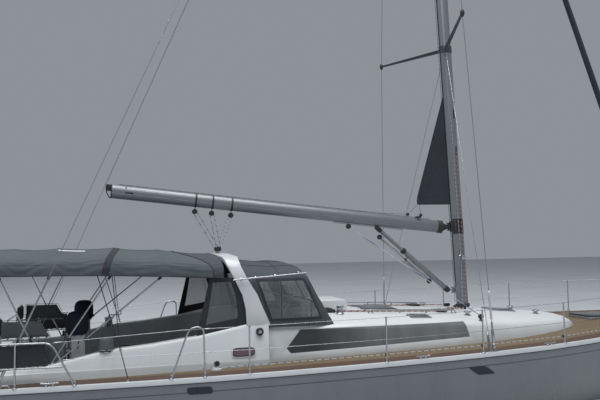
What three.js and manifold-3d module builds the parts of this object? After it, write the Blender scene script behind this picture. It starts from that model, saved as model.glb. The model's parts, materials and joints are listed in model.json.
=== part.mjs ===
// Sailing yacht, about 15 m long, in millimetres. X runs forward, Y to port, Z up.
// The origin is on the centreline, amidships, at the waterline.

import * as THREE from 'three';
import { mergeVertices } from 'three/addons/utils/BufferGeometryUtils.js';
import Module from 'manifold-3d';

const wasm = await Module();
wasm.setup();

const gap = 0.3;              // between pieces that touch
const runningGap = 8;         // between a lid or panel and its frame

// Hull and deck
const sternX = -7500;
const railWidth = 55;         // toe rail
const railHeight = 30;        // toe rail above the planking
const bandHeight = 110;       // from the top of the rail to the joint with the hull
const plankThickness = 10;
const deckCamber = 70;        // at the greatest beam
const skinThickness = 120;    // of the hull beside the cabin
const cabinFloorZ = -250;

// Cockpit
const cockpitAftX = -7400;
const bulkheadX = -2950;      // aft wall of the cabin
const soleZ = 720;
const seatTopZ = 1160;
const tubHalfWidth = 1600;
const wellHalfWidth = 560;
const helmEndX = -5300;       // forward end of the wide helm area
const coamingInnerY = 1530;
const coamingFootY = 1800;

// Mast and boom
const mastX = 1600;
const mastFootZ = 1800;
const mastRake = THREE.MathUtils.degToRad(2.5);
const mastLength = 17350;
const mastHalfLength = 130;   // fore and aft
const mastHalfWidth = 78;
const boomPinX = -200;        // swing axis, aft of the mast's centreline
const boomStartX = -370;
const boomHeightOnMast = 1705;
const boomLength = 6730;
const boomAngle = THREE.MathUtils.degToRad(5.9 + 2.5);
const boomHalfHeight = 125;
const boomHalfWidth = 80;

// Helm
const wheelX = -6200;
const wheelY = 1070;
const wheelZ = 1500;
const wheelRadius = 420;

// Rudders, leaning outward
const rudderX = -6550;
const rudderY = 1150;
const rudderCant = THREE.MathUtils.degToRad(14);
const rudderTopZ = -190;
const rudderSpan = 1500;

const paint = {
  hull: [0x8b9096, 0.35, 0], gelcoat: [0xe9ebec, 0.4, 0], teak: [0xa9814f, 0.75, 0],
  glass: [0x30363b, 0.08, 0.2], vinyl: [0x6c757b, 0.15, 0], canvas: [0x5d6269, 0.9, 0],
  darkCanvas: [0x33373c, 0.9, 0], sail: [0x2b2f34, 0.85, 0], alloy: [0xb3b6b9, 0.4, 0.8],
  steel: [0xc4c8cb, 0.22, 1], black: [0x17181a, 0.5, 0], iron: [0x262b31, 0.6, 0.2],
  bronze: [0x8c6b3a, 0.35, 1], cushion: [0x6e7276, 0.85, 0], engine: [0x9aa0a5, 0.5, 0.3],
};

const yacht = new THREE.Group();
yacht.name = 'sailing_yacht';

// Helpers

function weld(geometry) {
  const bare = geometry.clone();
  bare.deleteAttribute('normal');
  bare.deleteAttribute('uv');
  return mergeVertices(bare, 0.001);
}

function solid(geometry) {
  const welded = weld(geometry);
  return new wasm.Manifold(new wasm.Mesh({
    numProp: 3,
    vertProperties: new Float32Array(welded.attributes.position.array),
    triVerts: new Uint32Array(welded.index.array),
  }));
}

// Slivers that a cut leaves, narrower than this, are closed up.
const sliver = 0.02;

function geometryOf(shape) {
  const mesh = shape.simplify(sliver).getMesh();
  const geometry = new THREE.BufferGeometry();
  geometry.setAttribute('position', new THREE.BufferAttribute(mesh.vertProperties, 3));
  geometry.setIndex(new THREE.BufferAttribute(mesh.triVerts, 1));
  return geometry;
}

function add(name, shape, finish, parent = yacht) {
  const [color, roughness, metalness] = paint[finish];
  const geometry = shape.isBufferGeometry ? weld(shape) : geometryOf(shape);
  const mesh = new THREE.Mesh(geometry, new THREE.MeshStandardMaterial({ color, roughness, metalness }));
  mesh.name = name;
  parent.add(mesh);
  return mesh;
}

function joined(shapes) {
  return shapes.reduce((whole, shape) => whole.add(shape));
}

function block(low, high) {
  const size = high.map((value, axis) => value - low[axis]);
  const geometry = new THREE.BoxGeometry(...size);
  geometry.translate(...low.map((value, axis) => value + size[axis] / 2));
  return solid(geometry);
}

// A closed body through rings of points that all have the same count.
function loft(rings) {
  const count = rings[0].length;
  const positions = rings.flat().flatMap((point) => [point.x, point.y, point.z]);
  const faces = [];
  for (let ring = 0; ring < rings.length - 1; ring += 1) {
    for (let i = 0; i < count; i += 1) {
      const a = ring * count + i;
      const b = ring * count + ((i + 1) % count);
      faces.push([a, b, b + count], [a, b + count, a + count]);
    }
  }
  const cap = (ring, start, flip) => {
    const normal = new THREE.Vector3();
    ring.forEach((point, i) => normal.add(point.clone().cross(ring[(i + 1) % count])));
    const side = new THREE.Vector3().subVectors(ring[0], ring[Math.floor(count / 2)]);
    const u = side.projectOnPlane(normal.normalize()).normalize();
    const v = new THREE.Vector3().crossVectors(normal, u);
    const flat = ring.map((point) => new THREE.Vector2(point.dot(u), point.dot(v)));
    for (const [a, b, c] of THREE.ShapeUtils.triangulateShape(flat, [])) {
      faces.push(flip ? [start + a, start + c, start + b] : [start + a, start + b, start + c]);
    }
  };
  cap(rings[0], 0, true);
  cap(rings.at(-1), (rings.length - 1) * count, false);
  const geometry = new THREE.BufferGeometry();
  geometry.setAttribute('position', new THREE.Float32BufferAttribute(positions, 3));
  geometry.setIndex(faces.flat());
  const probe = new THREE.Vector3();
  const [p, q, r] = [new THREE.Vector3(), new THREE.Vector3(), new THREE.Vector3()];
  const volume = faces.reduce((sum, [a, b, c]) => {
    p.fromBufferAttribute(geometry.attributes.position, a);
    q.fromBufferAttribute(geometry.attributes.position, b);
    r.fromBufferAttribute(geometry.attributes.position, c);
    return sum + p.dot(probe.crossVectors(q, r));
  }, 0);
  if (volume < 0) geometry.setIndex(faces.map(([a, b, c]) => [a, c, b]).flat());
  return solid(geometry);
}

function mirroredRing(x, half) {
  const port = half.map(([y, z]) => new THREE.Vector3(x, y, z));
  const starboard = half.filter(([y]) => y > 0).reverse();
  return [...port, ...starboard.map(([y, z]) => new THREE.Vector3(x, -y, z))];
}

function rod(from, to, radius, sides = 8, endRadius = radius) {
  const start = new THREE.Vector3(...from);
  const end = new THREE.Vector3(...to);
  const geometry = new THREE.CylinderGeometry(endRadius, radius, start.distanceTo(end), sides);
  const direction = end.clone().sub(start).normalize();
  const upright = new THREE.Vector3(0, 1, 0);
  geometry.applyQuaternion(new THREE.Quaternion().setFromUnitVectors(upright, direction));
  geometry.translate(...start.add(end).multiplyScalar(0.5).toArray());
  return solid(geometry);
}

function knot(at, radius) {
  const geometry = new THREE.SphereGeometry(radius, 8, 6);
  geometry.translate(...at);
  return solid(geometry);
}

// A tube along straight runs through a list of points, mitred at each bend.
function tube(points, radius, sides = 6) {
  const path = points.map((point) => new THREE.Vector3(...point));
  const runs = path.slice(1).map((point, i) => point.clone().sub(path[i]).normalize());
  const up = Math.abs(runs[0].z) > 0.9 ? new THREE.Vector3(1, 0, 0) : new THREE.Vector3(0, 0, 1);
  const u = up.cross(runs[0]).normalize();
  const v = new THREE.Vector3().crossVectors(runs[0], u);
  let ring = Array.from({ length: sides }, (_, i) => {
    const angle = ((i + 0.5) / sides) * Math.PI * 2;
    return path[0].clone()
      .addScaledVector(u, radius * Math.cos(angle)).addScaledVector(v, radius * Math.sin(angle));
  });
  const rings = [ring];
  runs.forEach((run, i) => {
    const normal = (i + 1 < runs.length ? run.clone().add(runs[i + 1]) : run.clone()).normalize();
    ring = ring.map((point) => point.clone().addScaledVector(
      run, path[i + 1].clone().sub(point).dot(normal) / run.dot(normal)));
    rings.push(ring);
  });
  return loft(rings);
}

// A flat plate from an outline in X and Z, centred on a plane of constant Y.
function plate(outline, y, thickness) {
  const shape = new THREE.Shape(outline.map(([x, z]) => new THREE.Vector2(x, z)));
  const geometry = new THREE.ExtrudeGeometry(shape, { depth: thickness, bevelEnabled: false });
  geometry.rotateX(Math.PI / 2);
  geometry.translate(0, y + thickness / 2, 0);
  return solid(geometry);
}

// A board from an outline in X and Y, from one height up to another.
function board(outline, low, high) {
  const shape = new THREE.Shape(outline.map(([x, y]) => new THREE.Vector2(x, y)));
  const geometry = new THREE.ExtrudeGeometry(shape, { depth: high - low, bevelEnabled: false });
  geometry.translate(0, 0, low);
  return solid(geometry);
}

function turned(shape, quaternion, offset = [0, 0, 0]) {
  const matrix = new THREE.Matrix4().compose(
    new THREE.Vector3(...offset), quaternion, new THREE.Vector3(1, 1, 1));
  return shape.transform(matrix.elements);
}

// Hull: x, half beam at the rail, height of the rail, depth of the keel line, fullness of the section

const hullTable = [
  [-7500, 2120, 1180, 40, 3.6],
  [-6000, 2250, 1186, -190, 3.5],
  [-4000, 2380, 1200, -400, 3.2],
  [-2000, 2430, 1230, -520, 3.0],
  [0, 2430, 1270, -560, 2.8],
  [2000, 2310, 1318, -530, 2.6],
  [3000, 2160, 1350, -490, 2.45],
  [4000, 1920, 1390, -440, 2.3],
  [5000, 1580, 1432, -380, 2.15],
  [6000, 1120, 1478, -290, 2.0],
  [7000, 490, 1530, -140, 1.85],
  [7350, 190, 1548, 10, 1.8],
  [7460, 90, 1553, 700, 1.8],
  [7500, 45, 1556, 1300, 1.8],
];
const hullStations = [
  -7500, -7380, -6700, -6000, -5000, -4000, -3000, -2000, -1000, 0, 1000, 2000, 3000, 3600, 4200,
  4800, 5400, 6000, 6500, 7000, 7200, 7350, 7460, 7500,
];
const hullCurve = new THREE.CubicInterpolant(
  hullTable.map(([x]) => x), hullTable.flatMap(([, ...values]) => values), 4);

function hullAt(x) {
  const [halfBeam, railZ, keelZ, fullness] = hullCurve.evaluate(x);
  return { halfBeam, railZ, keelZ, fullness };
}

function hullForm(grow, top) {
  const steps = 12;
  return loft(hullStations.map((x) => {
    const { halfBeam, railZ, keelZ, fullness } = hullAt(x);
    const wide = Math.max(halfBeam + grow, 8);
    const topZ = railZ - bandHeight + top;
    const deep = Math.max(topZ - keelZ + grow, 60);
    const half = [];
    for (let i = 0; i <= steps; i += 1) {
      const angle = (Math.PI / 2) * (i / steps);
      const y = i === steps ? 0 : wide * Math.cos(angle) ** (2 / fullness);
      half.push([y, topZ - deep * Math.sin(angle) ** (2 / fullness)]);
    }
    return mirroredRing(x, half);
  }));
}

function deckZ(x, y) {
  const { halfBeam, railZ } = hullAt(x);
  const rise = deckCamber * (halfBeam / 2430);
  return railZ - railHeight - plankThickness + rise * (1 - (y / halfBeam) ** 2);
}

// The deck moulding, with its toe rail and a downturned edge that is the white band.
function deckForm() {
  return loft(hullStations.map((x) => {
    const { halfBeam, railZ } = hullAt(x);
    const lip = Math.min(railWidth, halfBeam * 0.4);
    const inner = halfBeam - lip;
    const half = [[halfBeam, railZ - bandHeight + gap], [halfBeam, railZ], [inner, railZ]];
    for (const share of [1, 0.66, 0.33, 0]) half.push([inner * share, deckZ(x, inner * share)]);
    return mirroredRing(x, half);
  }));
}

// Everything below a height above the deck's surface, to trim what stands on it.
function deckTrim(above) {
  return loft(hullStations.map((x) => {
    const { halfBeam, railZ } = hullAt(x);
    const inner = halfBeam - Math.min(railWidth, halfBeam * 0.4);
    const half = [[halfBeam + 50, railZ - 900]];
    for (const share of [1, 0.66, 0.33, 0]) {
      const y = inner * share;
      half.push([share === 1 ? halfBeam + 50 : y, deckZ(x, y) + above]);
    }
    return mirroredRing(x, half);
  }));
}

function plankForm() {
  return loft(hullStations.filter((x) => x < 7250).map((x) => {
    const { halfBeam } = hullAt(x);
    const inner = halfBeam - Math.min(railWidth, halfBeam * 0.4) - 6;
    const shares = [1, 0.66, 0.33, 0];
    const top = shares.map((share) => [inner * share, deckZ(x, inner * share) + plankThickness]);
    const port = top.slice(0, 3);
    const across = [...port, top[3], ...port.map(([y, z]) => [-y, z]).reverse()];
    const under = across.map(([y, z]) => [y, z - plankThickness + gap]).reverse();
    return [...across, ...under].map(([y, z]) => new THREE.Vector3(x, y, z));
  }));
}

// Coachroof: x, half width at the foot, half width at the edge, height of the edge, height of the crown

const roofTable = [
  [-3000, 1700, 1600, 1800, 1930],
  [-1300, 1700, 1590, 1760, 1905],
  [600, 1640, 1510, 1690, 1835],
  [1600, 1560, 1410, 1640, 1780],
  [2400, 1440, 1260, 1590, 1715],
  [3000, 1290, 1070, 1555, 1670],
  [3500, 1090, 850, 1520, 1630],
  [3800, 920, 650, 1470, 1580],
  [3950, 790, 500, 1420, 1510],
];
const windowLow = [1345, 1430];  // at its aft and forward ends
const windowTop = [1730, 1700];
const windowEnds = [-2760, 780];
const windowSlope = 60;      // how far the forward end leans
const windowRake = 330;       // how far the aft end leans
const hatchHalfWidth = 430;
const hatchRailZ = 1985;
const hatchThickness = 38;

function roofForm(inset, stations = roofTable) {
  return loft(stations.map(([x, foot, edge, edgeZ, crownZ]) => mirroredRing(x, [
    [foot - inset, 1000],
    [edge + 18 - inset, edgeZ - 70 - inset],
    [edge - 12 - inset, edgeZ - 15 - inset],
    [edge - 90 - inset, edgeZ + 25 - inset],
    [edge * 0.55, edgeZ + (crownZ - edgeZ) * 0.75 - inset],
    [0, crownZ - inset],
  ])));
}

const hullBlock = hullForm(0, 0);
const deckBlock = deckForm();
const clearOfDeck = deckTrim(plankThickness + gap);
const onDeck = deckTrim(gap);
const cabinSpace = hullForm(-skinThickness, 200)
  .intersect(block([bulkheadX + 60, -2200, cabinFloorZ], [5500, 2200, 2500]));

// Plan outlines of the openings in the deck
const cabinOpening = [
  [bulkheadX + 60, -1640], [600, -1580], [1600, -1500], [2400, -1380], [2900, -1240], [3300, -1020],
  [3300, 1020], [2900, 1240], [2400, 1380], [1600, 1500], [600, 1580], [bulkheadX + 60, 1640],
];
const foreHatch = { x: 4850, half: 300 };
const locker = { aft: 5950, forward: 6750, half: 330 };
const platform = { halfWidth: 950, hingeX: -7462, hingeZ: 478, top: 1105, thickness: 70 };
const lockerOutline = (grow) => [
  [locker.aft - grow, -locker.half - grow], [locker.forward + grow, -locker.half - grow],
  [locker.forward + grow, locker.half + grow], [locker.aft - grow, locker.half + grow],
];
const foreHatchSpace = block(
  [foreHatch.x - foreHatch.half, -foreHatch.half, 300], [foreHatch.x + foreHatch.half, foreHatch.half, 2000]);
const lockerSpace = board(lockerOutline(-20), 800, 2000);
const transomNotch = block(
  [sternX - 100, -platform.halfWidth - 5, platform.hingeZ - 50], [cockpitAftX, platform.halfWidth + 5, 2000]);
const tubSpace = block(
  [cockpitAftX - 40, -tubHalfWidth - gap, soleZ - 60 - gap], [bulkheadX + gap, tubHalfWidth + gap, 2500]);

// Hull

const rudderAxis = (side) => new THREE.Vector3(0, side * Math.sin(rudderCant), -Math.cos(rudderCant));
const rudderTop = (side) => new THREE.Vector3(rudderX, side * rudderY, rudderTopZ);
const along = (from, direction, distance) => from.clone().addScaledVector(direction, distance);

const rudderBosses = [-1, 1].map((side) => rod(
  along(rudderTop(side), rudderAxis(side), -260).toArray(),
  along(rudderTop(side), rudderAxis(side), -gap).toArray(), 85, 16));
const driveBoss = rod([-1250, 0, -700], [-1250, 0, -300], 170, 16);

const hull = joined([hullBlock, ...rudderBosses, driveBoss])
  .subtract(cabinSpace).subtract(tubSpace).subtract(transomNotch).subtract(foreHatchSpace)
  .subtract(lockerSpace);
add('hull', hull, 'hull');

// Deck and planking

const coamingPlan = [
  [cockpitAftX, -coamingFootY], [bulkheadX, -coamingFootY], [bulkheadX, coamingFootY],
  [cockpitAftX, coamingFootY],
];
const deckOpenings = joined([
  board(cabinOpening, 900, 2000),
  tubSpace,
  foreHatchSpace,
  board(lockerOutline(runningGap), 1400, 2000),
  lockerSpace,
  transomNotch,
]);
add('deck', deckBlock.subtract(deckOpenings), 'gelcoat');

const roofBody = roofForm(0);
const roofClear = roofForm(-gap * 2);
const hatchFrameSpace = block(
  [foreHatch.x - 350, -350, 1300], [foreHatch.x + 350, 350, 2000]);
const plankOpenings = joined([
  board(coamingPlan, 900, 2000), roofClear, hatchFrameSpace,
  board(lockerOutline(runningGap + 5), 1400, 2000), transomNotch,
  block([sternX - 10, -2300, 900], [cockpitAftX + gap, 2300, 2000]),
  block([6900, -300, 1300], [7600, 300, 2000]),
]);
const planking = plankForm().subtract(plankOpenings);
// The planking round the anchor locker is a piece of its own, ahead of a joint across the deck.
const plankJoint = locker.aft - 60;
for (const [name, aft, forward] of [
  ['teak_deck', sternX, plankJoint],
  ['teak_foredeck', plankJoint + gap, hullStations.at(-1)],
]) {
  add(name, planking.intersect(block([aft, -2500, 900], [forward, 2500, 2000])), 'teak');
}

// Coachroof, hollow, with the window bands, the companionway and the hood over its hatch

const wall = 45;
const innerStations = [[bulkheadX, 1700, 1600, 1800, 1930], ...roofTable.slice(1, 7)];
const roofSpace = roofForm(wall, innerStations);
const windowCut = (shrink) => joined([-1, 1].map((side) => {
  const outline = [
    [windowEnds[0] + shrink, windowLow[0] + shrink],
    [windowEnds[1] + windowSlope - shrink, windowLow[1] + shrink],
    [windowEnds[1] - shrink, windowTop[1] - shrink],
    [windowEnds[0] + windowRake + shrink, windowTop[0] - shrink],
  ];
  return plate(outline, side * 1600, 500);
}));
const roofShell = roofBody.subtract(roofSpace);
const bossHeight = 260;
const rigTilt = new THREE.Quaternion().setFromAxisAngle(new THREE.Vector3(0, 1, 0), -mastRake);
const mastBoss = turned(rod([0, 0, -bossHeight], [0, 0, 0], 210, 20), rigTilt, [mastX, 0, mastFootZ]);
const hood = { aft: -2100, forward: -1180, half: 490, top: 2085 };
const coachroof = joined([
  roofShell,
  mastBoss,
  block([hood.aft, -hood.half, 1840], [hood.forward, hood.half, hood.top]),
  block([-2998, -470, 1840], [hood.aft + 10, -395, hatchRailZ]),
  block([-2998, 395, 1840], [hood.aft + 10, 470, hatchRailZ]),
])
  .subtract(block([hood.aft - 10, -445, hatchRailZ - 1], [hood.forward - 50, 445, hatchRailZ + 60]))
  .subtract(block([-3100, -394, 1210], [-2160, 394, 2000]))
  .subtract(windowCut(0))
  .subtract(clearOfDeck)
  .subtract(block([-3100, -1800, 900], [3300, 1800, 1150]));
add('coachroof', coachroof, 'gelcoat');

const panes = roofShell.intersect(windowCut(gap));
for (const [name, low, high] of [['window_starboard', -2000, 0], ['window_port', 0, 2000]]) {
  add(name, panes.intersect(block([-3100, low, 1000], [1500, high, 2000])), 'glass');
}

const hatchUnder = hatchRailZ + gap;
const hatch = block(
  [-3005, -hatchHalfWidth, hatchUnder], [hood.aft + 25, hatchHalfWidth, hatchUnder + hatchThickness]);
const hatchLip = block([-3045, -380, 1950], [-3004, 380, hatchRailZ + hatchThickness]);
add('companionway_hatch', hatch.add(hatchLip), 'glass');

const washboard = block([-2992, -393.7, 1210 + gap], [-2962, 393.7, 1949]);
add('washboard', washboard, 'glass');

// Cockpit: x and height of the coaming's top, from aft forward

const coamingTable = [
  [-7395, 1330], [-6500, 1380], [-5700, 1545], [-5400, 1590], [-4900, 1630], [-4200, 1715],
  [-3400, 1865], [-3010, 1905],
];
const coamings = [-1, 1].map((side) => loft(coamingTable.map(([x, top]) => [
  [coamingFootY, 1000], [coamingFootY - 60, top - 60], [coamingFootY - 100, top], [coamingInnerY + 30, top],
  [coamingInnerY, top - 35], [coamingInnerY, 1000],
].map(([y, z]) => new THREE.Vector3(x, side * y, z)))));
const tub = block([cockpitAftX, -tubHalfWidth, soleZ - 60], [bulkheadX, tubHalfWidth, 1300])
  .add(block([cockpitAftX, -coamingFootY + 20, 1100], [-3010, coamingFootY - 20, 1300]));
const winch = { x: -5580, y: 1645, foot: 1500, top: 1725, radius: 75 };
const winches = [-1, 1].map((side) => {
  const { radius, foot, top } = winch;
  const profile = [
    [0, foot], [radius * 1.15, foot], [radius * 1.15, top - 150], [radius * 0.8, top - 130],
    [radius * 0.75, top - 65], [radius * 1.1, top - 40], [radius * 1.1, top - 5], [0, top],
  ].map(([r, z]) => new THREE.Vector2(r, z));
  const geometry = new THREE.LatheGeometry(profile, 16);
  geometry.rotateX(Math.PI / 2);
  geometry.translate(winch.x, side * winch.y, 0);
  return solid(geometry);
});
const cockpit = joined([tub, ...coamings])
  .subtract(block([cockpitAftX - 10, -coamingInnerY + 80, soleZ], [helmEndX, coamingInnerY - 80, 2500]))
  .subtract(block([helmEndX - 10, -wellHalfWidth, soleZ], [-3010, wellHalfWidth, 2500]))
  .subtract(block([helmEndX - 10, -coamingInnerY, seatTopZ], [-3010, coamingInnerY, 2500]))
  .subtract(block([cockpitAftX - 10, -coamingInnerY, seatTopZ], [helmEndX, coamingInnerY, 2500]))
  .subtract(deckTrim(gap).subtract(tubSpace))
  .subtract(block([-3010, -2000, 1205], [bulkheadX + 10, 2000, 2500]))
  .add(joined(winches));
add('cockpit', cockpit, 'gelcoat');

const engineBlock = block([-2800, -300, cabinFloorZ + gap], [-1900, 300, 420]);
add('engine', engineBlock, 'engine');

// Fore hatch with its frame, anchor locker lid and swim platform

const frameTop = 1490;
const hatchFrame = block([foreHatch.x - 345, -345, 1300], [foreHatch.x + 345, 345, frameTop])
  .subtract(block([foreHatch.x - 290, -290, 1200], [foreHatch.x + 290, 290, 1600]))
  .subtract(onDeck);
add('fore_hatch_frame', hatchFrame, 'alloy');
add('fore_hatch_lid', block(
  [foreHatch.x - 340, -340, frameTop + gap], [foreHatch.x + 340, 340, frameTop + 30]), 'glass');

const lockerLid = board(lockerOutline(0), 1400, 1700)
  .add(board([[locker.aft - runningGap + gap, -300], [locker.aft + 5, -300], [locker.aft + 5, -220],
    [locker.aft - runningGap + gap, -220]], 1400, 1700))
  .add(board([[locker.aft - runningGap + gap, 220], [locker.aft + 5, 220], [locker.aft + 5, 300],
    [locker.aft - runningGap + gap, 300]], 1400, 1700))
  .intersect(deckTrim(plankThickness))
  .subtract(deckTrim(-30));
add('anchor_locker_lid', lockerLid, 'gelcoat');

const platformPin = (side) => rod(
  [platform.hingeX, side * (platform.halfWidth - 10), platform.hingeZ],
  [platform.hingeX, side * (platform.halfWidth + 5 - gap), platform.hingeZ], 12, 12);
add('swim_platform', joined([
  block(
    [sternX + 6, -platform.halfWidth, platform.hingeZ - 25],
    [sternX + 6 + platform.thickness, platform.halfWidth, platform.top]),
  platformPin(-1), platformPin(1),
]), 'gelcoat');

// Keel: height, leading edge, trailing edge, half thickness

function foilRing(z, lead, trail, half, y = 0) {
  const chord = lead - trail;
  const shares = [0, 0.06, 0.25, 0.6, 1];
  const widths = [0, 0.62, 1, 0.72, 0.06];
  const port = shares.map((share, i) => new THREE.Vector3(lead - share * chord, y + widths[i] * half, z));
  const starboard = shares.slice(1).map((share, i) => (
    new THREE.Vector3(lead - share * chord, y - widths[i + 1] * half, z))).reverse();
  return [...port, ...starboard];
}

const keelTable = [
  [-300, 1750, -250, 115], [-1500, 1450, -350, 100], [-1640, 1600, -520, 150], [-1800, 1800, -700, 215],
  [-2000, 1780, -760, 240], [-2100, 1500, -640, 170],
];
const keelFin = loft(keelTable.map(([z, lead, trail, half]) => foilRing(z, lead, trail, half)));
add('keel', keelFin.subtract(hullForm(gap * 1.5, 0)), 'iron');

// Rudders, each turning about its own leaning stock

for (const [side, name] of [[-1, 'rudder_starboard'], [1, 'rudder_port']]) {
  const blade = loft([[-30, 210, -330, 34], [-700, 190, -300, 28], [-rudderSpan, 120, -200, 16]]
    .map(([z, lead, trail, half]) => foilRing(z, lead, trail, half)));
  const stock = rod([0, 0, -60], [0, 0, 0], 32, 16);
  const group = new THREE.Group();
  group.position.copy(rudderTop(side));
  group.quaternion.setFromUnitVectors(new THREE.Vector3(0, 0, -1), rudderAxis(side));
  add(name, blade.add(stock), 'iron', group);
  yacht.add(group);
}

// Saildrive leg and propeller

const shaft = { x: -1390, z: -1080 };
const leg = loft([[-700 - gap, -1130, -1370, 60], [-950, -1150, -1350, 50], [-1150, -1120, -1385, 55]]
  .map(([z, lead, trail, half]) => foilRing(z, lead, trail, half)));
const gearCase = rod([-1385, 0, shaft.z], [-1090, 0, shaft.z], 62, 12, 40);
add('saildrive', leg.add(gearCase), 'iron');

const blades = [0, 1, 2].map((index) => {
  const blade = loft([[30, 22, -22, 9], [130, 48, -48, 7], [225, 20, -20, 4]]
    .map(([z, lead, trail, half]) => foilRing(z, lead, trail, half)));
  const pitch = new THREE.Quaternion().setFromEuler(new THREE.Euler((index * 2 * Math.PI) / 3, 0, 0));
  const twist = new THREE.Quaternion().setFromEuler(new THREE.Euler(0, 0, 0.9));
  return turned(turned(blade, twist), pitch);
});
const hub = rod([-75, 0, 0], [62, 0, 0], 38, 12, 52);
add('propeller', joined([hub, ...blades]), 'bronze').position.set(shaft.x - 62 - gap + 5, 0, shaft.z);

// Rig, built upright on the mast's foot and leaned aft

const rig = new THREE.Group();
rig.position.set(mastX, 0, mastFootZ);
rig.rotation.y = -mastRake;
yacht.add(rig);

function mastSection(grow) {
  const shape = new THREE.Shape();
  shape.absellipse(0, 0, mastHalfLength + grow, mastHalfWidth + grow, 0, Math.PI * 2);
  return shape;
}

function mastPrism(low, high, grow) {
  const geometry = new THREE.ExtrudeGeometry(
    mastSection(grow), { depth: high - low, bevelEnabled: false, curveSegments: 10 });
  geometry.translate(0, 0, low);
  return solid(geometry);
}

const mastCrane = (grow) => block(
  [-300 - grow, -40 - grow, mastLength - 10 - grow], [180 + grow, 40 + grow, mastLength + 90 + grow]);
const clearOfMast = turned(
  mastPrism(0, mastLength, gap).add(mastCrane(gap)), rigTilt, [mastX, 0, mastFootZ]);
const vangFootZ = 375;
const vangEars = joined([
  block([-mastHalfLength - 20, -30, vangFootZ - 70], [0, 30, vangFootZ + 70]),
  block([boomPinX - 28, -30, vangFootZ + 42], [0, 30, vangFootZ + 60]),
  block([boomPinX - 28, -30, vangFootZ - 60], [0, 30, vangFootZ - 42]),
]);
add('mast', joined([mastPrism(gap, mastLength, 0), mastCrane(0), vangEars]), 'alloy', rig);

// Spreaders: height on the mast, half span, how far the tips sweep aft and rise
const spreaderTable = [
  ['spreaders_lower', 5510, 1870, 670, 120],
  ['spreaders_upper', 10900, 1350, 480, 90],
];
for (const [name, height, halfSpan, sweep, rise] of spreaderTable) {
  const arms = [-1, 1].map((side) => rod(
    [-20, side * 50, height], [-sweep, side * halfSpan, height + rise], 42, 8, 24));
  const collar = mastPrism(height - 70, height + 70, 14);
  const spreaders = joined([collar, ...arms]).subtract(mastPrism(height - 200, height + 200, gap));
  add(name, spreaders, 'alloy', rig);
}

// Gooseneck on the mast: a bracket whose two ears carry the boom's pin
const pinZ = boomHeightOnMast;
const bracket = joined([
  block([-mastHalfLength - 40, -35, pinZ - 110], [-mastHalfLength + 20, 35, pinZ + 110]),
  block([boomPinX - 30, -35, pinZ + 60], [-mastHalfLength, 35, pinZ + 85]),
  block([boomPinX - 30, -35, pinZ - 85], [-mastHalfLength, 35, pinZ - 60]),
]).subtract(mastPrism(pinZ - 300, pinZ + 300, gap));
add('gooseneck', bracket, 'black', rig);

// Boom, its ends and the vang under it, all on the swing axis
const boomPoint = (distance, drop = 0) => [
  boomStartX - distance * Math.cos(boomAngle) - drop * Math.sin(boomAngle), 0,
  boomHeightOnMast + distance * Math.sin(boomAngle) - drop * Math.cos(boomAngle),
];
const boomShape = new THREE.Shape();
boomShape.absellipse(0, 0, boomHalfHeight, boomHalfWidth, 0, Math.PI * 2);
const boomGeometry = new THREE.ExtrudeGeometry(
  boomShape, { depth: boomLength, bevelEnabled: false, curveSegments: 8 });
boomGeometry.rotateY(-Math.PI / 2);
boomGeometry.rotateY(boomAngle);
boomGeometry.translate(boomStartX, 0, boomHeightOnMast);
add('boom', solid(boomGeometry), 'alloy', rig);

const toggle = joined([
  rod([boomPinX, 0, pinZ - 60 + gap], [boomPinX, 0, pinZ + 60 - gap], 26, 12),
  rod([boomPinX - 10, 0, pinZ], [boomStartX - 2, 0, pinZ], 34, 10, 95),
]).subtract(turned(solid(new THREE.BoxGeometry(400, 400, 600)),
  new THREE.Quaternion().setFromAxisAngle(new THREE.Vector3(0, 1, 0), boomAngle),
  boomPoint(200 - gap)));
add('boom_gooseneck', toggle, 'black', rig);

const vangTop = boomPoint(1500, boomHalfHeight + 8);
const vangFork = [boomPinX - 120, 0, vangFootZ];
const vangRadius = [36, 54];  // of the inner and the outer tube
const vangSleeve = 0.58;      // share of its length in the outer tube
const vangCollar = vangFork.map((value, axis) => value + (vangTop[axis] - value) * vangSleeve);
add('vang', joined([
  rod([boomPinX, 0, vangFootZ - 42 + gap], [boomPinX, 0, vangFootZ + 42 - gap], 20, 12),
  tube([[boomPinX, 0, vangFootZ], vangFork], 18, 8),
  rod(vangFork, vangTop, vangRadius[0], 10),
  rod(vangFork, vangCollar, vangRadius[1], 10),
]).subtract(solid(boomGeometry).translate(0, 0, -gap)), 'alloy', rig);

// The corner of the mainsail that shows above the boom
const clew = [[-mastHalfLength - gap, 2170], [-mastHalfLength - gap, 4500], [-910, 2260], [-910, 2195]];
add('mainsail_clew', plate(clew, 0, 5), 'sail', rig);

// Stays and shrouds
const clearOfRail = joined([deckBlock, plankForm()]).translate(0, 0, gap * 2);
const onRig = (x, y, z) => new THREE.Vector3(x, y, z).applyQuaternion(rigTilt)
  .add(new THREE.Vector3(mastX, 0, mastFootZ));
const stayFoot = new THREE.Vector3(7040, 0, 1690);
const stayHead = onRig(mastHalfLength - 20, 0, mastLength - 900);
const stayLength = stayHead.distanceTo(stayFoot);
const stayLine = stayHead.clone().sub(stayFoot).normalize();
const stayPoint = (distance) => stayFoot.clone().addScaledVector(stayLine, distance);
const rollStart = 410;
const rollEnd = 15900;
add('furler_drum', joined([
  rod(stayPoint(16).toArray(), stayPoint(250).toArray(), 16, 8),
  rod(stayPoint(245).toArray(), stayPoint(rollStart - gap).toArray(), 85, 16),
]), 'black');

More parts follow.
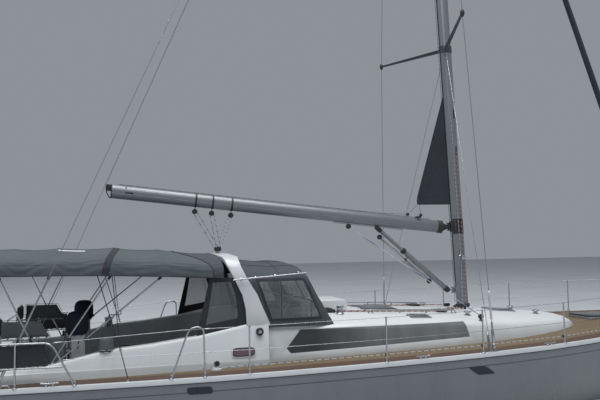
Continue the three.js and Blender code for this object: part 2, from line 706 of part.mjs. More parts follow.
// The rolled headsail: share of its length and radius
const rollTable = [[0, 62], [0.25, 68], [0.62, 52], [0.97, 26], [1, 14]];
const roll = loft(rollTable.map(([share, radius]) => {
  const centre = stayPoint(rollStart + share * (rollEnd - rollStart));
  const side = new THREE.Vector3(stayLine.z, 0, -stayLine.x);
  return Array.from({ length: 10 }, (_, k) => {
    const angle = (k / 10) * Math.PI * 2;
    return centre.clone().addScaledVector(side, radius * Math.cos(angle))
      .add(new THREE.Vector3(0, radius * Math.sin(angle), 0));
  });
}));
const stayTop = rod(stayPoint(rollEnd - 200).toArray(), stayPoint(stayLength).toArray(), 7, 6);
add('headsail_roll', roll.add(stayTop).subtract(clearOfMast), 'sail');

for (const [side, name] of [[-1, 'starboard'], [1, 'port']]) {
  const plateY = hullAt(820).halfBeam - railWidth / 2;
  const plateTop = [820, side * 2350, 1430];
  const tips = spreaderTable.map(([, height, halfSpan, sweep, rise]) => (
    onRig(-sweep - 4, side * (halfSpan + 10), height + rise).toArray()));
  const lowerEnd = onRig(-20, side * (mastHalfWidth - 20), 5360).toArray();
  const capEnd = onRig(-10, side * (mastHalfWidth - 20), mastLength - 200).toArray();
  const turnbuckles = [
    rod([820, side * plateY, 1262], plateTop, 24, 8),
    tube([plateTop, ...tips, capEnd], 7, 6),
    rod([750, side * plateY, 1262], [758, side * 2325, 1420], 20, 8),
    tube([[758, side * 2325, 1420], lowerEnd], 6, 6),
    block([700, side * plateY - 20, 1262], [880, side * plateY + 20, 1318]),
  ];
  add(`shrouds_${name}`, joined(turnbuckles).subtract(clearOfRail).subtract(clearOfMast), 'steel');
}

for (const [side, name] of [[-1, 'starboard'], [1, 'port']]) {
  const head = onRig(-285, side * 28, mastLength - 10 - gap - 3);
  const railTop = hullAt(-7050).railZ + gap * 3;
  const foot = new THREE.Vector3(-7050, side * 2130, railTop + 20);
  const span = head.clone().sub(foot).normalize();
  add(`backstay_${name}`, joined([
    block([-7090, side * 2130 - 24, railTop], [-7010, side * 2130 + 24, railTop + 40]),
    rod(foot.toArray(), along(foot, span, 500).toArray(), 20, 8),
    rod(along(foot, span, 400).toArray(), head.toArray(), 6, 6),
  ]), 'steel');
}

// Guard rails: x and height above the rail of each stanchion

const stanchionRadius = 13;
const wireRadius = 5;
const guardHeight = 730;
const guardInset = 28;
// Pushpit: its top rail slopes down to the deck at its forward end.
const pushpit = {
  top: 1805, low: 1455, fore: -6330, foot: -6010, legX: -6820, bend: [-7250, 2120], corner: [-7380, 2060],
  inner: [-7400, 1060],
};
function pushpitX(z) {
  const footZ = hullAt(pushpit.foot).railZ;
  return pushpit.foot + ((pushpit.fore - pushpit.foot) * (z - footZ)) / (pushpit.top - footZ);
}
const guardPoint = (x, side, above) => {
  const { halfBeam, railZ } = hullAt(x);
  return [x, side * (halfBeam - guardInset), railZ + above];
};
const stanchions = [-3460, -1200, 600, 2360, 4000, 5350];
// The hoop at the gate: x and height above the rail, from its raked leg over the top
const gateHoop = [
  [-4640, gap], [-4400, 670], [-4350, 730], [-4290, 750], [-4220, 740], [-4160, 695], [-4140, gap],
];
for (const [side, name] of [[-1, 'starboard'], [1, 'port']]) {
  const posts = stanchions.map((x) => joined([
    rod(guardPoint(x, side, gap), guardPoint(x, side, guardHeight), stanchionRadius, 8),
    rod(guardPoint(x, side, gap), guardPoint(x, side, 45), 24, 8),
  ]));
  const hoop = tube(gateHoop.map(([x, above]) => guardPoint(x, side, above)), stanchionRadius, 8);
  const wires = [guardHeight - 12, guardHeight * 0.5].map((above) => {
    const aftZ = Math.min(hullAt(pushpit.foot).railZ + above, pushpit.top);
    const aftX = pushpitX(aftZ) + 20;
    const aftEnd = [aftX, side * (hullAt(aftX).halfBeam - guardInset), aftZ];
    const rest = [-4400, ...stanchions, 6230].map((x) => guardPoint(x, side, above));
    return tube([aftEnd, ...rest], wireRadius, 6);
  });
  add(`guard_rail_${name}`, joined([hoop, ...posts, ...wires]).subtract(clearOfRail), 'steel');
}

const railTube = 14;
const pulpitPoints = (side) => [
  guardPoint(6250, side, gap), [6300, side * (hullAt(6300).halfBeam - 30), hullAt(6300).railZ + 720],
];
const bow = [7420, 1560 + 700];
add('pulpit', joined([
  ...[-1, 1].flatMap((side) => [
    tube([...pulpitPoints(side), [7250, side * 250, bow[1]], [bow[0], side * 130, bow[1]]], railTube),
    tube([guardPoint(7000, side, gap), [7160, side * 285, bow[1] - 5]], railTube),
    tube([[6270, side * (hullAt(6270).halfBeam - 28), hullAt(6270).railZ + 350],
      [7090, side * 352, hullAt(7090).railZ + 360]], railTube - 3),
  ]),
  rod([bow[0], -130, bow[1]], [bow[0], 130, bow[1]], railTube),
  knot([bow[0], -130, bow[1]], railTube), knot([bow[0], 130, bow[1]], railTube),
]).subtract(clearOfRail), 'steel');

// Pushpits, with a weather cloth laced inside their upper rails
const clothThickness = 6;
const laceGap = 0.6;
const clothEnds = [-6420, -7215];
for (const [side, name] of [[-1, 'starboard'], [1, 'port']]) {
  const { top, low, fore, foot, legX, bend, corner, inner } = pushpit;
  const foreY = hullAt(fore).halfBeam - guardInset;
  const lineY = (x) => side * (foreY + ((bend[1] - foreY) * (x - fore)) / (bend[0] - fore));
  const aftRun = (z) => [bend, corner, inner].map(([x, y]) => [x, side * y, z]);
  const topRail = tube([guardPoint(foot, side, gap), [fore, lineY(fore), top], ...aftRun(top)], railTube);
  const lowRail = tube([[pushpitX(low), lineY(pushpitX(low)), low], ...aftRun(low)], railTube);
  const legs = [
    [[legX, lineY(legX), hullAt(legX).railZ + gap], [legX, lineY(legX), top]],
    [[corner[0], side * corner[1], hullAt(corner[0]).railZ + gap], [corner[0], side * corner[1], top]],
    [[inner[0], side * inner[1], low - 4], [inner[0], side * inner[1], top]],
  ].map((ends) => tube(ends, railTube));
  add(`pushpit_${name}`, joined([topRail, lowRail, ...legs]).subtract(clearOfRail), 'steel');

  const reach = railTube * Math.cos(Math.PI / 6) + laceGap;
  const face = reach + clothThickness;
  add(`weather_cloth_${name}`, loft(clothEnds.map((x) => (
    [[reach, low - 10], [face, low - 10], [face, top - 5], [reach, top - 5]]
      .map(([inward, z]) => new THREE.Vector3(x, lineY(x) - side * inward, z))))), 'canvas');
}

// Arch over the cockpit: y, height, aft edge, forward edge

const archTable = [
  [1700, 1800, -3370, -2950], [1698, 2110, -3385, -3090], [1688, 2350, -3440, -3190],
  [1665, 2600, -3560, -3345], [1630, 2790, -3655, -3440], [1545, 2905, -3710, -3475],
  [1385, 2950, -3725, -3465], [350, 2985, -3725, -3450], [0, 2985, -3725, -3450],
];
const archThickness = 62;
const archLevelHalf = 350;    // the top is level this far out
const archSide = archTable.map(([y, z, aft, fore], i) => {
  const [nextY, nextZ] = archTable[Math.min(i + 1, archTable.length - 1)];
  const [lastY, lastZ] = archTable[Math.max(i - 1, 0)];
  const run = new THREE.Vector2(nextY - lastY, nextZ - lastZ).normalize();
  if (y <= archLevelHalf) run.set(-1, 0);
  const out = new THREE.Vector2(run.y, -run.x).multiplyScalar(archThickness / 2);
  return { y, z, aft, fore, out };
});
const archRing = ({ y, z, aft, fore, out }, side) => (
  [[aft, 1], [fore, 1], [fore, -1], [aft, -1]].map(([x, face]) => (
    new THREE.Vector3(x, side * (y + face * out.x), z + face * out.y))));
const arch = loft([
  ...archSide.map((row) => archRing(row, 1)),
  ...archSide.slice(0, -1).reverse().map((row) => archRing(row, -1)),
]);
add('arch', arch.subtract(cockpit.translate(0, 0, gap)).subtract(coachroof.translate(0, 0, gap))
  .intersect(block([-5000, -2500, 1850], [-2000, 2500, 3500])), 'gelcoat');

// Bimini: x, half width, height of the side edge, height of the crown

const biminiTable = [
  [-7720, 1720, 2770, 3140], [-7150, 1740, 2780, 3160], [-6400, 1750, 2775, 3165], [-5500, 1750, 2755, 3160],
  [-4700, 1745, 2720, 3115], [-3745, 1735, 2670, 3025],
];
const biminiThickness = 14;
const biminiSheet = (drop) => biminiTable.map(([x, half, edgeZ, crownZ]) => {
  const steps = 8;
  return Array.from({ length: steps + 1 }, (_, i) => {
    const angle = (i / steps) * Math.PI;
    const y = (half - drop) * Math.cos(angle);
    const z = edgeZ + (crownZ - edgeZ - drop) * Math.sin(angle) ** 0.55;
    return new THREE.Vector3(x, y, z);
  });
});
const biminiOuter = biminiSheet(0);
const biminiInner = biminiSheet(biminiThickness);
const biminiRings = biminiOuter.map((row, i) => [...row, ...biminiInner[i].slice().reverse()]);
add('bimini_canopy', loft(biminiRings), 'canvas');

// Bows under the cloth: the row of the table that each one carries, and where its legs stand
const bowTube = 13;
const bowFootY = 1660;
const bowFeet = [-6450, -7060];
const bowTable = [[1, -6450], [2, -7060], [3, -6450], [4, -6450]];
const frameEdge = (row) => [row[0], row[1] - 60, row[2] - 5];
add('bimini_frame', joined([
  ...[-1, 1].flatMap((side) => [
    ...bowTable.map(([row, footX]) => {
      const [x, y, z] = frameEdge(biminiTable[row]);
      return tube([[footX, side * bowFootY, 1430], [x, side * y, z]], bowTube);
    }),
    tube([1, 4].map((row) => {
      const [x, y, z] = frameEdge(biminiTable[row]);
      return [x, side * y, z];
    }), bowTube - 2),
    ...bowFeet.map((x) => rod([x, side * bowFootY, 1300], [x, side * bowFootY, 1440], 22)),
  ]),
  ...bowTable.map(([row]) => {
    const [x, half, edgeZ, crownZ] = biminiTable[row];
    const reach = biminiThickness + bowTube + gap;
    return tube(Array.from({ length: 9 }, (_, i) => {
      const angle = (i / 8) * Math.PI;
      const rise = (crownZ - edgeZ - reach) * Math.sin(angle) ** 0.55;
      return [x, (half - 60) * Math.cos(angle), edgeZ - gap + rise];
    }), bowTube);
  }),
]).subtract(cockpit.translate(0, 0, gap)), 'steel');

// Dodger: x, half width at the foot, half width and height of the shoulder, height of the crown

const dodgerTable = [
  [-3410, 1650, 1610, 2650, 2915], [-2900, 1650, 1600, 2640, 2870], [-2290, 1640, 1555, 2615, 2800],
  [-2040, 1600, 1490, 2240, 2420], [-1800, 1530, 1400, 1850, 1980],
];
const dodgerFootZ = 1700;
const dodgerForm = (inset) => loft(dodgerTable.map(([x, foot, half, shoulderZ, crownZ], i) => {
  const forward = i === dodgerTable.length - 1 ? inset : 0;
  const aft = i === 0 ? inset : 0;
  return mirroredRing(x - forward - aft, [
    [foot - inset, dodgerFootZ], [half + 20 - inset, shoulderZ - 120 - inset],
    [half - 70 - inset, shoulderZ + 30 - inset], [half * 0.6, shoulderZ + (crownZ - shoulderZ) * 0.8 - inset],
    [0, crownZ - inset],
  ]);
}));
const dodgerSkin = 12;
const roofAndCockpit = coachroof.add(cockpit);
const dodgerShell = dodgerForm(0).subtract(dodgerForm(dodgerSkin))
  .intersect(block([-3408, -2000, 1500], [-1735, 2000, 3000]))
  .subtract(arch.translate(gap, 0, 0))
  .subtract(roofForm(-gap - 2))
  .subtract(block([-3600, -2000, 1400], [-3000, 2000, 1905 + gap]))
  .subtract(block([hood.aft - 10, -hood.half - gap, 1500], [hood.forward, hood.half + gap, hood.top + gap]))
  .subtract(roofAndCockpit.translate(0, 0, gap));
const sidePane = { low: 1955, high: 2490, foot: [-2890, -2130], head: [-3075, -2420] };
const sideCut = (shrink) => joined([-1, 1].map((side) => plate([
  [sidePane.foot[0] + shrink, sidePane.low + shrink], [sidePane.foot[1] - shrink, sidePane.low + shrink],
  [sidePane.head[1] - shrink, sidePane.high - shrink], [sidePane.head[0] + shrink, sidePane.high - shrink],
], side * 1620, 300)));
const frontPane = { inner: 70, outer: 1130, low: 2115, high: 2520 };
const frontCut = (shrink) => joined([[-frontPane.outer, -frontPane.inner], [frontPane.inner, frontPane.outer]]
  .map(([from, to]) => block(
    [-2350 + shrink, from + shrink, frontPane.low + shrink], [-1750, to - shrink, frontPane.high - shrink])));
add('dodger', dodgerShell.subtract(sideCut(0)).subtract(frontCut(0)), 'darkCanvas');
const sidePanes = dodgerShell.intersect(sideCut(gap));
const frontPanes = dodgerShell.intersect(frontCut(gap));
for (const [name, low, high] of [['starboard', -2000, 0], ['port', 0, 2000]]) {
  add(`dodger_side_pane_${name}`, sidePanes.intersect(block([-4000, low, 1000], [0, high, 3000])), 'vinyl');
  add(`dodger_front_pane_${name}`, frontPanes.intersect(block([-4000, low, 1000], [0, high, 3000])), 'vinyl');
}

// Side curtains aft of the arch
const curtain = [
  [-4190, 1700], [-3320, 1850], [-3335, 2110], [-3390, 2350], [-3530, 2640], [-3975, 2650],
];
for (const [side, name] of [[-1, 'starboard'], [1, 'port']]) {
  const sheet = plate(curtain, side * 1682, 8)
    .subtract(cockpit.translate(0, 0, gap)).subtract(arch.translate(-gap, 0, 0));
  add(`side_curtain_${name}`, sheet, 'vinyl');
}

// Helms: height, forward face and half width of a pedestal

const pedestalTable = [[soleZ + gap, 190, 130], [1300, 120, 100], [1750, 110, 110], [1960, 90, 130]];
const helmSeat = {
  aft: -7330, forward: -6860, inner: 950, outer: 1450, top: 1300,
  pad: 75, padAft: -7235, padFore: -6405, padLow: 1775, padTop: 2065,
};
for (const [side, name] of [[-1, 'starboard'], [1, 'port']]) {
  const pedestal = joined([
    loft(pedestalTable.map(([z, fore, half]) => (
      [[-95, -half], [fore, -half], [fore, half], [-95, half]].map(([x, y]) => (
        new THREE.Vector3(wheelX + 170 + x, side * wheelY + y, z)))))),
    rod([wheelX + 30, side * wheelY, wheelZ], [wheelX + 110, side * wheelY, wheelZ], 45, 12),
  ]);
  add(`pedestal_${name}`, pedestal, 'gelcoat');
  const rim = new THREE.TorusGeometry(wheelRadius - 16, 16, 6, 24);
  rim.rotateY(Math.PI / 2);
  const spokes = [0, 1, 2, 3, 4].map((index) => {
    const angle = (index / 5) * Math.PI * 2 + Math.PI / 2;
    return rod([0, 0, 0],
      [0, (wheelRadius - 20) * Math.cos(angle), (wheelRadius - 20) * Math.sin(angle)], 9, 6);
  });
  const boss = rod([-30, 0, 0], [30 - gap, 0, 0], 50, 12);
  add(`wheel_${name}`, joined([solid(rim), boss, ...spokes]), 'steel')
    .position.set(wheelX, side * wheelY, wheelZ);
  const seatY = [helmSeat.inner, helmSeat.outer].map((y) => side * y).sort((a, b) => a - b);
  const padY = [helmSeat.outer, helmSeat.outer - helmSeat.pad].map((y) => side * y).sort((a, b) => a - b);
  const posts = [[-7195, helmSeat.inner + 40], [-7195, helmSeat.outer - 35], [-6890, helmSeat.outer - 35]];
  const { padAft, padFore, padLow, padTop, pad } = helmSeat;
  add(`helm_seat_${name}`, joined([
    block([helmSeat.aft, seatY[0], soleZ + gap], [helmSeat.forward, seatY[1], helmSeat.top]),
    block([padAft, seatY[0], padLow], [padAft + pad, seatY[1], padTop]),
    block([padAft, padY[0], padLow], [padFore, padY[1], padTop]),
    ...posts.map(([x, y]) => rod([x, side * y, helmSeat.top - 10], [x, side * y, padLow + 10], 15)),
  ]), 'gelcoat');
}

// Cockpit table on its leg
add('cockpit_table', joined([
  block([-4700, -70, soleZ + gap], [-3500, 70, 1240]),
  block([-4800, -330, 1239], [-3400, 330, 1280]),
  block([-4600, -200, soleZ + gap], [-3600, 200, soleZ + 30]),
]), 'teak');

// Anchor in its roller at the stem
const stemTop = hullAt(7420).railZ;
// Outlines in X and height above the stem
const cheekOutline = [[6960, -20], [7640, 10], [7680, 60], [7600, 110], [6960, 60]];
const aboveStem = (outline) => outline.map(([x, z]) => [x, stemTop + z]);
const cheeks = [-1, 1].map((side) => plate(aboveStem(cheekOutline), side * 55, 10));
const stayPlateTop = stayFoot.z - 4 - stemTop;
const stayPlate = plate(
  aboveStem([[6990, 0], [7090, 0], [7060, stayPlateTop], [7020, stayPlateTop]]), 0, 20);
add('bow_roller', joined([
  ...cheeks, block([6960, -60, stemTop - 12], [7560, 60, stemTop + 8]), stayPlate,
  rod([7590, -60, stemTop + 55], [7590, 60, stemTop + 55], 30, 16),
]).subtract(clearOfDeck).subtract(deckTrim(railHeight + plankThickness + gap)), 'steel');

// The shank lies on the roller. Flukes: x, height above the stem, half width, half thickness
const shankLow = 85 + gap;
const shankTop = shankLow + 46;
const flukeTable = [[7740, -40, 60, 30], [7700, -180, 190, 14], [7660, -330, 40, 8]];
add('anchor', joined([
  block([7110, -11, stemTop + shankLow], [7680, 11, stemTop + shankTop]),
  plate(aboveStem([[7640, shankLow], [7680, shankTop], [7765, -60], [7715, -60]]), 0, 22),
  loft(flukeTable.map(([x, z, half, thick]) => (
    [[0, half], [thick, 0], [0, -half], [-thick, 0]].map(([dx, y]) => (
      new THREE.Vector3(x + dx, y, stemTop + z)))))),
]), 'steel');

export default yacht;
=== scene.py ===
# Sailing yacht: the finish, canvas, rigging and fittings round its solid frame.
# Metres. X runs forward, Y to port, Z up from the waterline amidships.
import json
import random
from math import atan2, copysign, cos, exp, hypot, pi, radians, sin, tau
import bpy
from mathutils import Matrix, Vector, noise
from mathutils.bvhtree import BVHTree


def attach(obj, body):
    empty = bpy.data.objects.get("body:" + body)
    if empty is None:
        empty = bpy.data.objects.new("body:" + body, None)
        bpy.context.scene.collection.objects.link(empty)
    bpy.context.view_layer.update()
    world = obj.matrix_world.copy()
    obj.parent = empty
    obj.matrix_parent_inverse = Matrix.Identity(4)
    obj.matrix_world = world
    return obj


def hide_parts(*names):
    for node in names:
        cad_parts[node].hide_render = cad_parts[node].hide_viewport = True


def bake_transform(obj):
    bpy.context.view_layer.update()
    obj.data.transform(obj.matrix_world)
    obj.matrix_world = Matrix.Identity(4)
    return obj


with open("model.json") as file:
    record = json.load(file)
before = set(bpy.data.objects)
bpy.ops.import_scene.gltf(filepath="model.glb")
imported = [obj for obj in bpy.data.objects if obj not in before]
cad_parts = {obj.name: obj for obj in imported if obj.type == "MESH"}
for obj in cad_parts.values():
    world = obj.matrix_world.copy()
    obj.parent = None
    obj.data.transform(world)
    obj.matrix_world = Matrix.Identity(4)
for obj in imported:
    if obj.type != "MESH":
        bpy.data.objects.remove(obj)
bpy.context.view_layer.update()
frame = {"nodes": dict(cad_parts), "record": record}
random.seed(12)
sides = {"starboard": -1, "port": 1}
bothSides = (-1, 1)


# Working on objects

def objectMode():
    bpy.ops.object.mode_set(mode="OBJECT")


def pick(*pieces):
    if bpy.context.mode != "OBJECT":
        objectMode()
    bpy.ops.object.select_all(action="DESELECT")
    for piece in pieces:
        piece.select_set(True)
    bpy.context.view_layer.objects.active = pieces[0]
    return pieces[0]


def edit(piece):
    pick(piece)
    bpy.ops.object.mode_set(mode="EDIT")
    bpy.ops.mesh.select_mode(type="FACE")
    bpy.ops.mesh.select_all(action="SELECT")


def modify(piece, kind, **settings):
    modifier = piece.modifiers.new(kind.title(), kind)
    for key, value in settings.items():
        setattr(modifier, key, value)
    pick(piece)
    bpy.ops.object.modifier_apply(modifier=modifier.name)
    return piece


def thicken(piece, thickness, offset=0):
    return modify(piece, "SOLIDIFY", thickness=thickness, offset=offset)


def settle(piece):
    pick(piece)
    bpy.ops.object.transform_apply(location=True, rotation=True, scale=True)
    return piece


def smooth(piece, degrees=35):
    pick(piece)
    bpy.ops.object.shade_smooth_by_angle(angle=radians(degrees))
    return piece


def outward(piece):
    edit(piece)
    bpy.ops.mesh.remove_doubles(threshold=0.00002)
    bpy.ops.mesh.normals_make_consistent(inside=False)
    objectMode()
    return piece


def join(name, pieces):
    pick(*pieces)
    if len(pieces) > 1:
        bpy.ops.object.join()
    pieces[0].name = name
    return pieces[0]


def twin(piece, name):
    # A copy with its own mesh
    copy = piece.copy()
    copy.data = piece.data.copy()
    copy.name = name
    bpy.context.scene.collection.objects.link(copy)
    return copy


def moved(piece, offset):
    piece.location = Vector(offset)
    return settle(piece)


def onSide(point, side):
    return Vector((point[0], side * point[1], point[2]))


def aimed(piece, direction, at):
    # Turns a piece that was built upright along Z, and sets it down at a point
    piece.rotation_mode = "QUATERNION"
    piece.rotation_quaternion = Vector(direction).normalized().to_track_quat("Z", "Y")
    piece.location = Vector(at)
    return settle(piece)


def paint(piece, finish):
    piece.data.materials.clear()
    piece.data.materials.append(finishes[finish])


def dress(piece, finish, body="root", slot=None, replaces=()):
    # Its finish, the body it rides on, and the nodes that it stands for; its slot, or the usual one for its
    # finish, is worked out but not given to it
    paint(piece, finish)
    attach(piece, body)
    slot = slot or usualSlots.get(finish)
    if replaces:
        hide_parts(*replaces)
    return piece


# Shapes

def boxPiece(low, high, bevel=0.004, segments=2):
    centre = [(a + b) / 2 for a, b in zip(low, high)]
    bpy.ops.mesh.primitive_cube_add(size=1, location=centre)
    piece = bpy.context.object
    piece.scale = [b - a for a, b in zip(low, high)]
    settle(piece)
    if bevel:
        modify(piece, "BEVEL", width=bevel, segments=segments, limit_method="ANGLE")
    return smooth(piece)


def turnedPiece(steps, sides=20, bevel=0.0):
    # Upright along Z from a list of radius and height in millimetres
    steps = [(wide / 1000, high / 1000) for wide, high in steps]
    radius, height = steps[0]
    bpy.ops.mesh.primitive_circle_add(
        vertices=sides, radius=radius, fill_type="NGON", location=(0, 0, height))
    piece = bpy.context.object
    edit(settle(piece))
    for wide, high in steps[1:]:
        bpy.ops.mesh.extrude_region_move(TRANSFORM_OT_translate={"value": (0, 0, high - height)})
        share = wide / radius
        bpy.ops.transform.resize(value=(share, share, 1), center_override=(0, 0, high))
        radius, height = wide, high
    outward(piece)
    if bevel:
        modify(piece, "BEVEL", width=bevel, segments=2, limit_method="ANGLE", angle_limit=0.6)
    return smooth(piece, 40)


def rounded(points, bend, steps=5):
    # A run of points with an arc in place of each inner corner
    points = [Vector(p) for p in points]
    if bend <= 0 or len(points) < 3:
        return points
    run = [points[0]]
    for before, corner, after in zip(points, points[1:], points[2:]):
        reach = min(bend, (corner - before).length * 0.48, (after - corner).length * 0.48)
        start = corner + (before - corner).normalized() * reach
        end = corner + (after - corner).normalized() * reach
        for i in range(steps + 1):
            t = i / steps
            run.append(start * (1 - t) ** 2 + corner * 2 * t * (1 - t) + end * t ** 2)
    return run + [points[-1]]


def straight(start, end, steps):
    # Points along a line, close enough to bend between two bodies
    return [start.lerp(end, k / steps) for k in range(steps + 1)]


def tubePiece(name, runs, radius, bend=0.0, resolution=2, closed=False):
    # Round tubes or wires along one or more runs of points, as one piece
    bpy.ops.curve.primitive_bezier_curve_add()
    piece = bpy.context.object
    piece.name = name
    line = piece.data
    line.splines.clear()
    for run in runs:
        points = rounded(run, bend)
        spline = line.splines.new("POLY")
        spline.points.add(len(points) - 1)
        for at, point in zip(spline.points, points):
            at.co = (*point, 1)
        spline.use_cyclic_u = closed
    line.dimensions = "3D"
    line.bevel_depth = radius
    line.bevel_resolution = resolution
    line.use_fill_caps = not closed
    pick(piece)
    bpy.ops.object.convert(target="MESH")
    outward(piece)
    return smooth(piece, 50)


def gridPiece(name, across, along, place):
    # A sheet of across by along cells, each corner placed by a function of two shares
    bpy.ops.mesh.primitive_grid_add(x_subdivisions=across, y_subdivisions=along, size=2)
    piece = bpy.context.object
    piece.name = name
    for vertex in piece.data.vertices:
        vertex.co = place((vertex.co.x + 1) / 2, (vertex.co.y + 1) / 2)
    return piece


def refined(node, name, bevel=0.0, degrees=35):
    # A smooth copy of a solid, its facets merged, with its sharp edges eased
    piece = bpy.data.objects.new(name, frame["nodes"][node].data.copy())
    bpy.context.scene.collection.objects.link(piece)
    edit(piece)
    bpy.ops.mesh.remove_doubles(threshold=0.0002)
    bpy.ops.mesh.dissolve_limited(angle_limit=radians(0.04))
    objectMode()
    if bevel:
        modify(piece, "BEVEL", width=bevel, segments=2, limit_method="ANGLE", angle_limit=radians(40))
    return smooth(piece, degrees)


# Material maths: a socket that adds Math nodes when it meets an operator

class Wire:
    def __init__(self, finish, socket):
        self.finish = finish
        self.socket = socket

    def maths(self, operation, *values):
        return self.finish.node("ShaderNodeMath", {"operation": operation}, dict(enumerate(values)))

    def __abs__(self):
        return self.maths("ABSOLUTE", self)

    def fraction(self):
        return self.maths("FRACT", self)

    def whole(self):
        return self.maths("FLOOR", self)

    def sine(self):
        return self.maths("SINE", self)


def addOperator(name, operation, turned=False):
    def apply(self, other):
        return self.maths(operation, other, self) if turned else self.maths(operation, self, other)
    setattr(Wire, f"__{name}__", apply)


for operator, operation in (("add", "ADD"), ("sub", "SUBTRACT"), ("mul", "MULTIPLY"), ("truediv", "DIVIDE")):
    addOperator(operator, operation)
    addOperator("r" + operator, operation, turned=True)
for operator, operation in (("pow", "POWER"), ("gt", "GREATER_THAN"), ("lt", "LESS_THAN")):
    addOperator(operator, operation)


class Finish:
    def __init__(self, name):
        self.material = bpy.data.materials.new(name)
        self.material.use_nodes = True
        self.tree = self.material.node_tree
        self.tree.nodes.clear()
        self.out = self.tree.nodes.new("ShaderNodeOutputMaterial")

    def node(self, kind, settings=None, sockets=None, output=0):
        made = self.tree.nodes.new(kind)
        for key, value in (settings or {}).items():
            if key == "stops":
                while len(made.color_ramp.elements) < len(value):
                    made.color_ramp.elements.new(0.5)
                for element, (position, colour) in zip(made.color_ramp.elements, value):
                    element.position = position
                    element.color = (*colour, 1)
            elif key == "points":
                curve = made.mapping.curves[0]
                for position, level in value[1:-1]:
                    curve.points.new(position, level)
                for point, (position, level) in zip(curve.points, value):
                    point.location = (position, level)
                made.mapping.update()
            else:
                setattr(made, key, value)
        for key, value in (sockets or {}).items():
            if isinstance(value, Wire):
                self.tree.links.new(value.socket, made.inputs[key])
            else:
                made.inputs[key].default_value = value
        return Wire(self, made.outputs[output])

    def place(self, stretch=(1, 1, 1)):
        where = self.node("ShaderNodeTexCoord", output=3)
        if stretch == (1, 1, 1):
            return where
        return self.node("ShaderNodeMapping", {"vector_type": "POINT"}, {"Vector": where, "Scale": stretch})

    def axes(self):
        where = self.place()
        return [self.node("ShaderNodeSeparateXYZ", {}, {0: where}, output=i) for i in range(3)]

    def upward(self):
        # 1 on faces that look up, 0 on walls
        facing = self.node("ShaderNodeNewGeometry", output=1)
        return self.ramp(self.node("ShaderNodeSeparateXYZ", {}, {0: facing}, output=2), 0.75, 0.93)

    def noise(self, scale, detail=3.0, rough=0.55, stretch=(1, 1, 1)):
        return self.node(
            "ShaderNodeTexNoise", {},
            {"Vector": self.place(stretch), "Scale": scale, "Detail": detail, "Roughness": rough})

    def ramp(self, value, low, high, start=0.0, end=1.0):
        return self.node(
            "ShaderNodeMapRange", {"clamp": True},
            {0: value, 1: low, 2: high, 3: start, 4: end})

    def between(self, value, low, high):
        return (value > low) * (value < high)

    def blend(self, share, low, high):
        low, high = [(*c, 1) if isinstance(c, tuple) and len(c) == 3 else c for c in (low, high)]
        return self.node("ShaderNodeMix", {"data_type": "RGBA"}, {0: share, 6: low, 7: high}, output=2)

    def mixed(self, share, low, high):
        return self.node("ShaderNodeMix", {"data_type": "FLOAT"}, {0: share, 2: low, 3: high}, output=0)

    def bump(self, height, strength=0.3, distance=0.002, normal=None):
        sockets = {"Strength": strength, "Distance": distance, "Height": height}
        if normal:
            sockets["Normal"] = normal
        return self.node("ShaderNodeBump", {}, sockets)

    def surface(self, colour, roughness=0.5, **extra):
        sockets = {"Base Color": colour, "Roughness": roughness}
        sockets.update(extra)
        if isinstance(colour, tuple):
            sockets["Base Color"] = (*colour, 1)
        shader = self.node("ShaderNodeBsdfPrincipled", {}, sockets)
        self.tree.links.new(shader.socket, self.out.inputs[0])
        return self.material


# Reading the frame

def edgeRows(stations):
    # x, height of the rail and half beam at places along the deck moulding
    corners = [v.co for v in frame["nodes"]["deck"].data.vertices]
    rows = []
    for x in stations:
        near = [c for c in corners if abs(c.x - x) < 0.003]
        half = max(abs(c.y) for c in near)
        rows.append((x, max(c.z for c in near if abs(c.y) > half - 0.004), half))
    return rows


deckStations = [-7.5, -7.38, -6.7, *range(-6, 4), 3.6, 4.2, 4.8, 5.4, 6, 6.5, 7, 7.2, 7.35, 7.46]
railRows = edgeRows(deckStations)


def railAt(x):
    # Height of the rail and half beam
    x = min(max(x, railRows[0][0]), railRows[-1][0])
    for (x0, z0, half0), (x1, z1, half1) in zip(railRows, railRows[1:]):
        if x <= x1:
            t = (x - x0) / (x1 - x0)
            return z0 + (z1 - z0) * t, half0 + (half1 - half0) * t


def treeOf(*nodes):
    points, faces = [], []
    for node in nodes:
        mesh = frame["nodes"][node].data
        start = len(points)
        points += [v.co.copy() for v in mesh.vertices]
        faces += [[start + i for i in face.vertices] for face in mesh.polygons]
    return BVHTree.FromPolygons(points, faces)


topTree = treeOf("teak_deck", "teak_foredeck", "deck", "coachroof", "cockpit")


def topAt(x, y, start=4.0):
    # The height of what lies under a point
    return topTree.ray_cast(Vector((x, y, start)), Vector((0, 0, -1)))[0].z


print("Frame read:", len(frame["nodes"]), "solids")


# Camera, light and floor

view = {
    "place": (-5.436, -12.171, 3.216),
    "turn": 16.009,       # from straight across the boat towards the bow, degrees
    "tilt": 3.728,
    "roll": -0.733,
    "focalPixels": 640.12,
    "framePixels": 600,
    "sensor": 36,
}
turn, tilt, roll = (radians(view[key]) for key in ("turn", "tilt", "roll"))
ahead = Vector((sin(turn) * cos(tilt), cos(turn) * cos(tilt), sin(tilt)))
level = Vector((cos(turn), -sin(turn), 0))
over = level.cross(ahead)
rightward = level * cos(roll) + over * sin(roll)
upward = over * cos(roll) - level * sin(roll)
bpy.ops.object.camera_add()
camera = bpy.context.object
camera.matrix_world = Matrix((rightward, upward, -ahead)).transposed().to_4x4()
camera.location = view["place"]
camera.data.sensor_width = view["sensor"]
camera.data.lens = view["focalPixels"] / view["framePixels"] * view["sensor"]
camera.data.clip_end = 400
bpy.context.scene.camera = camera

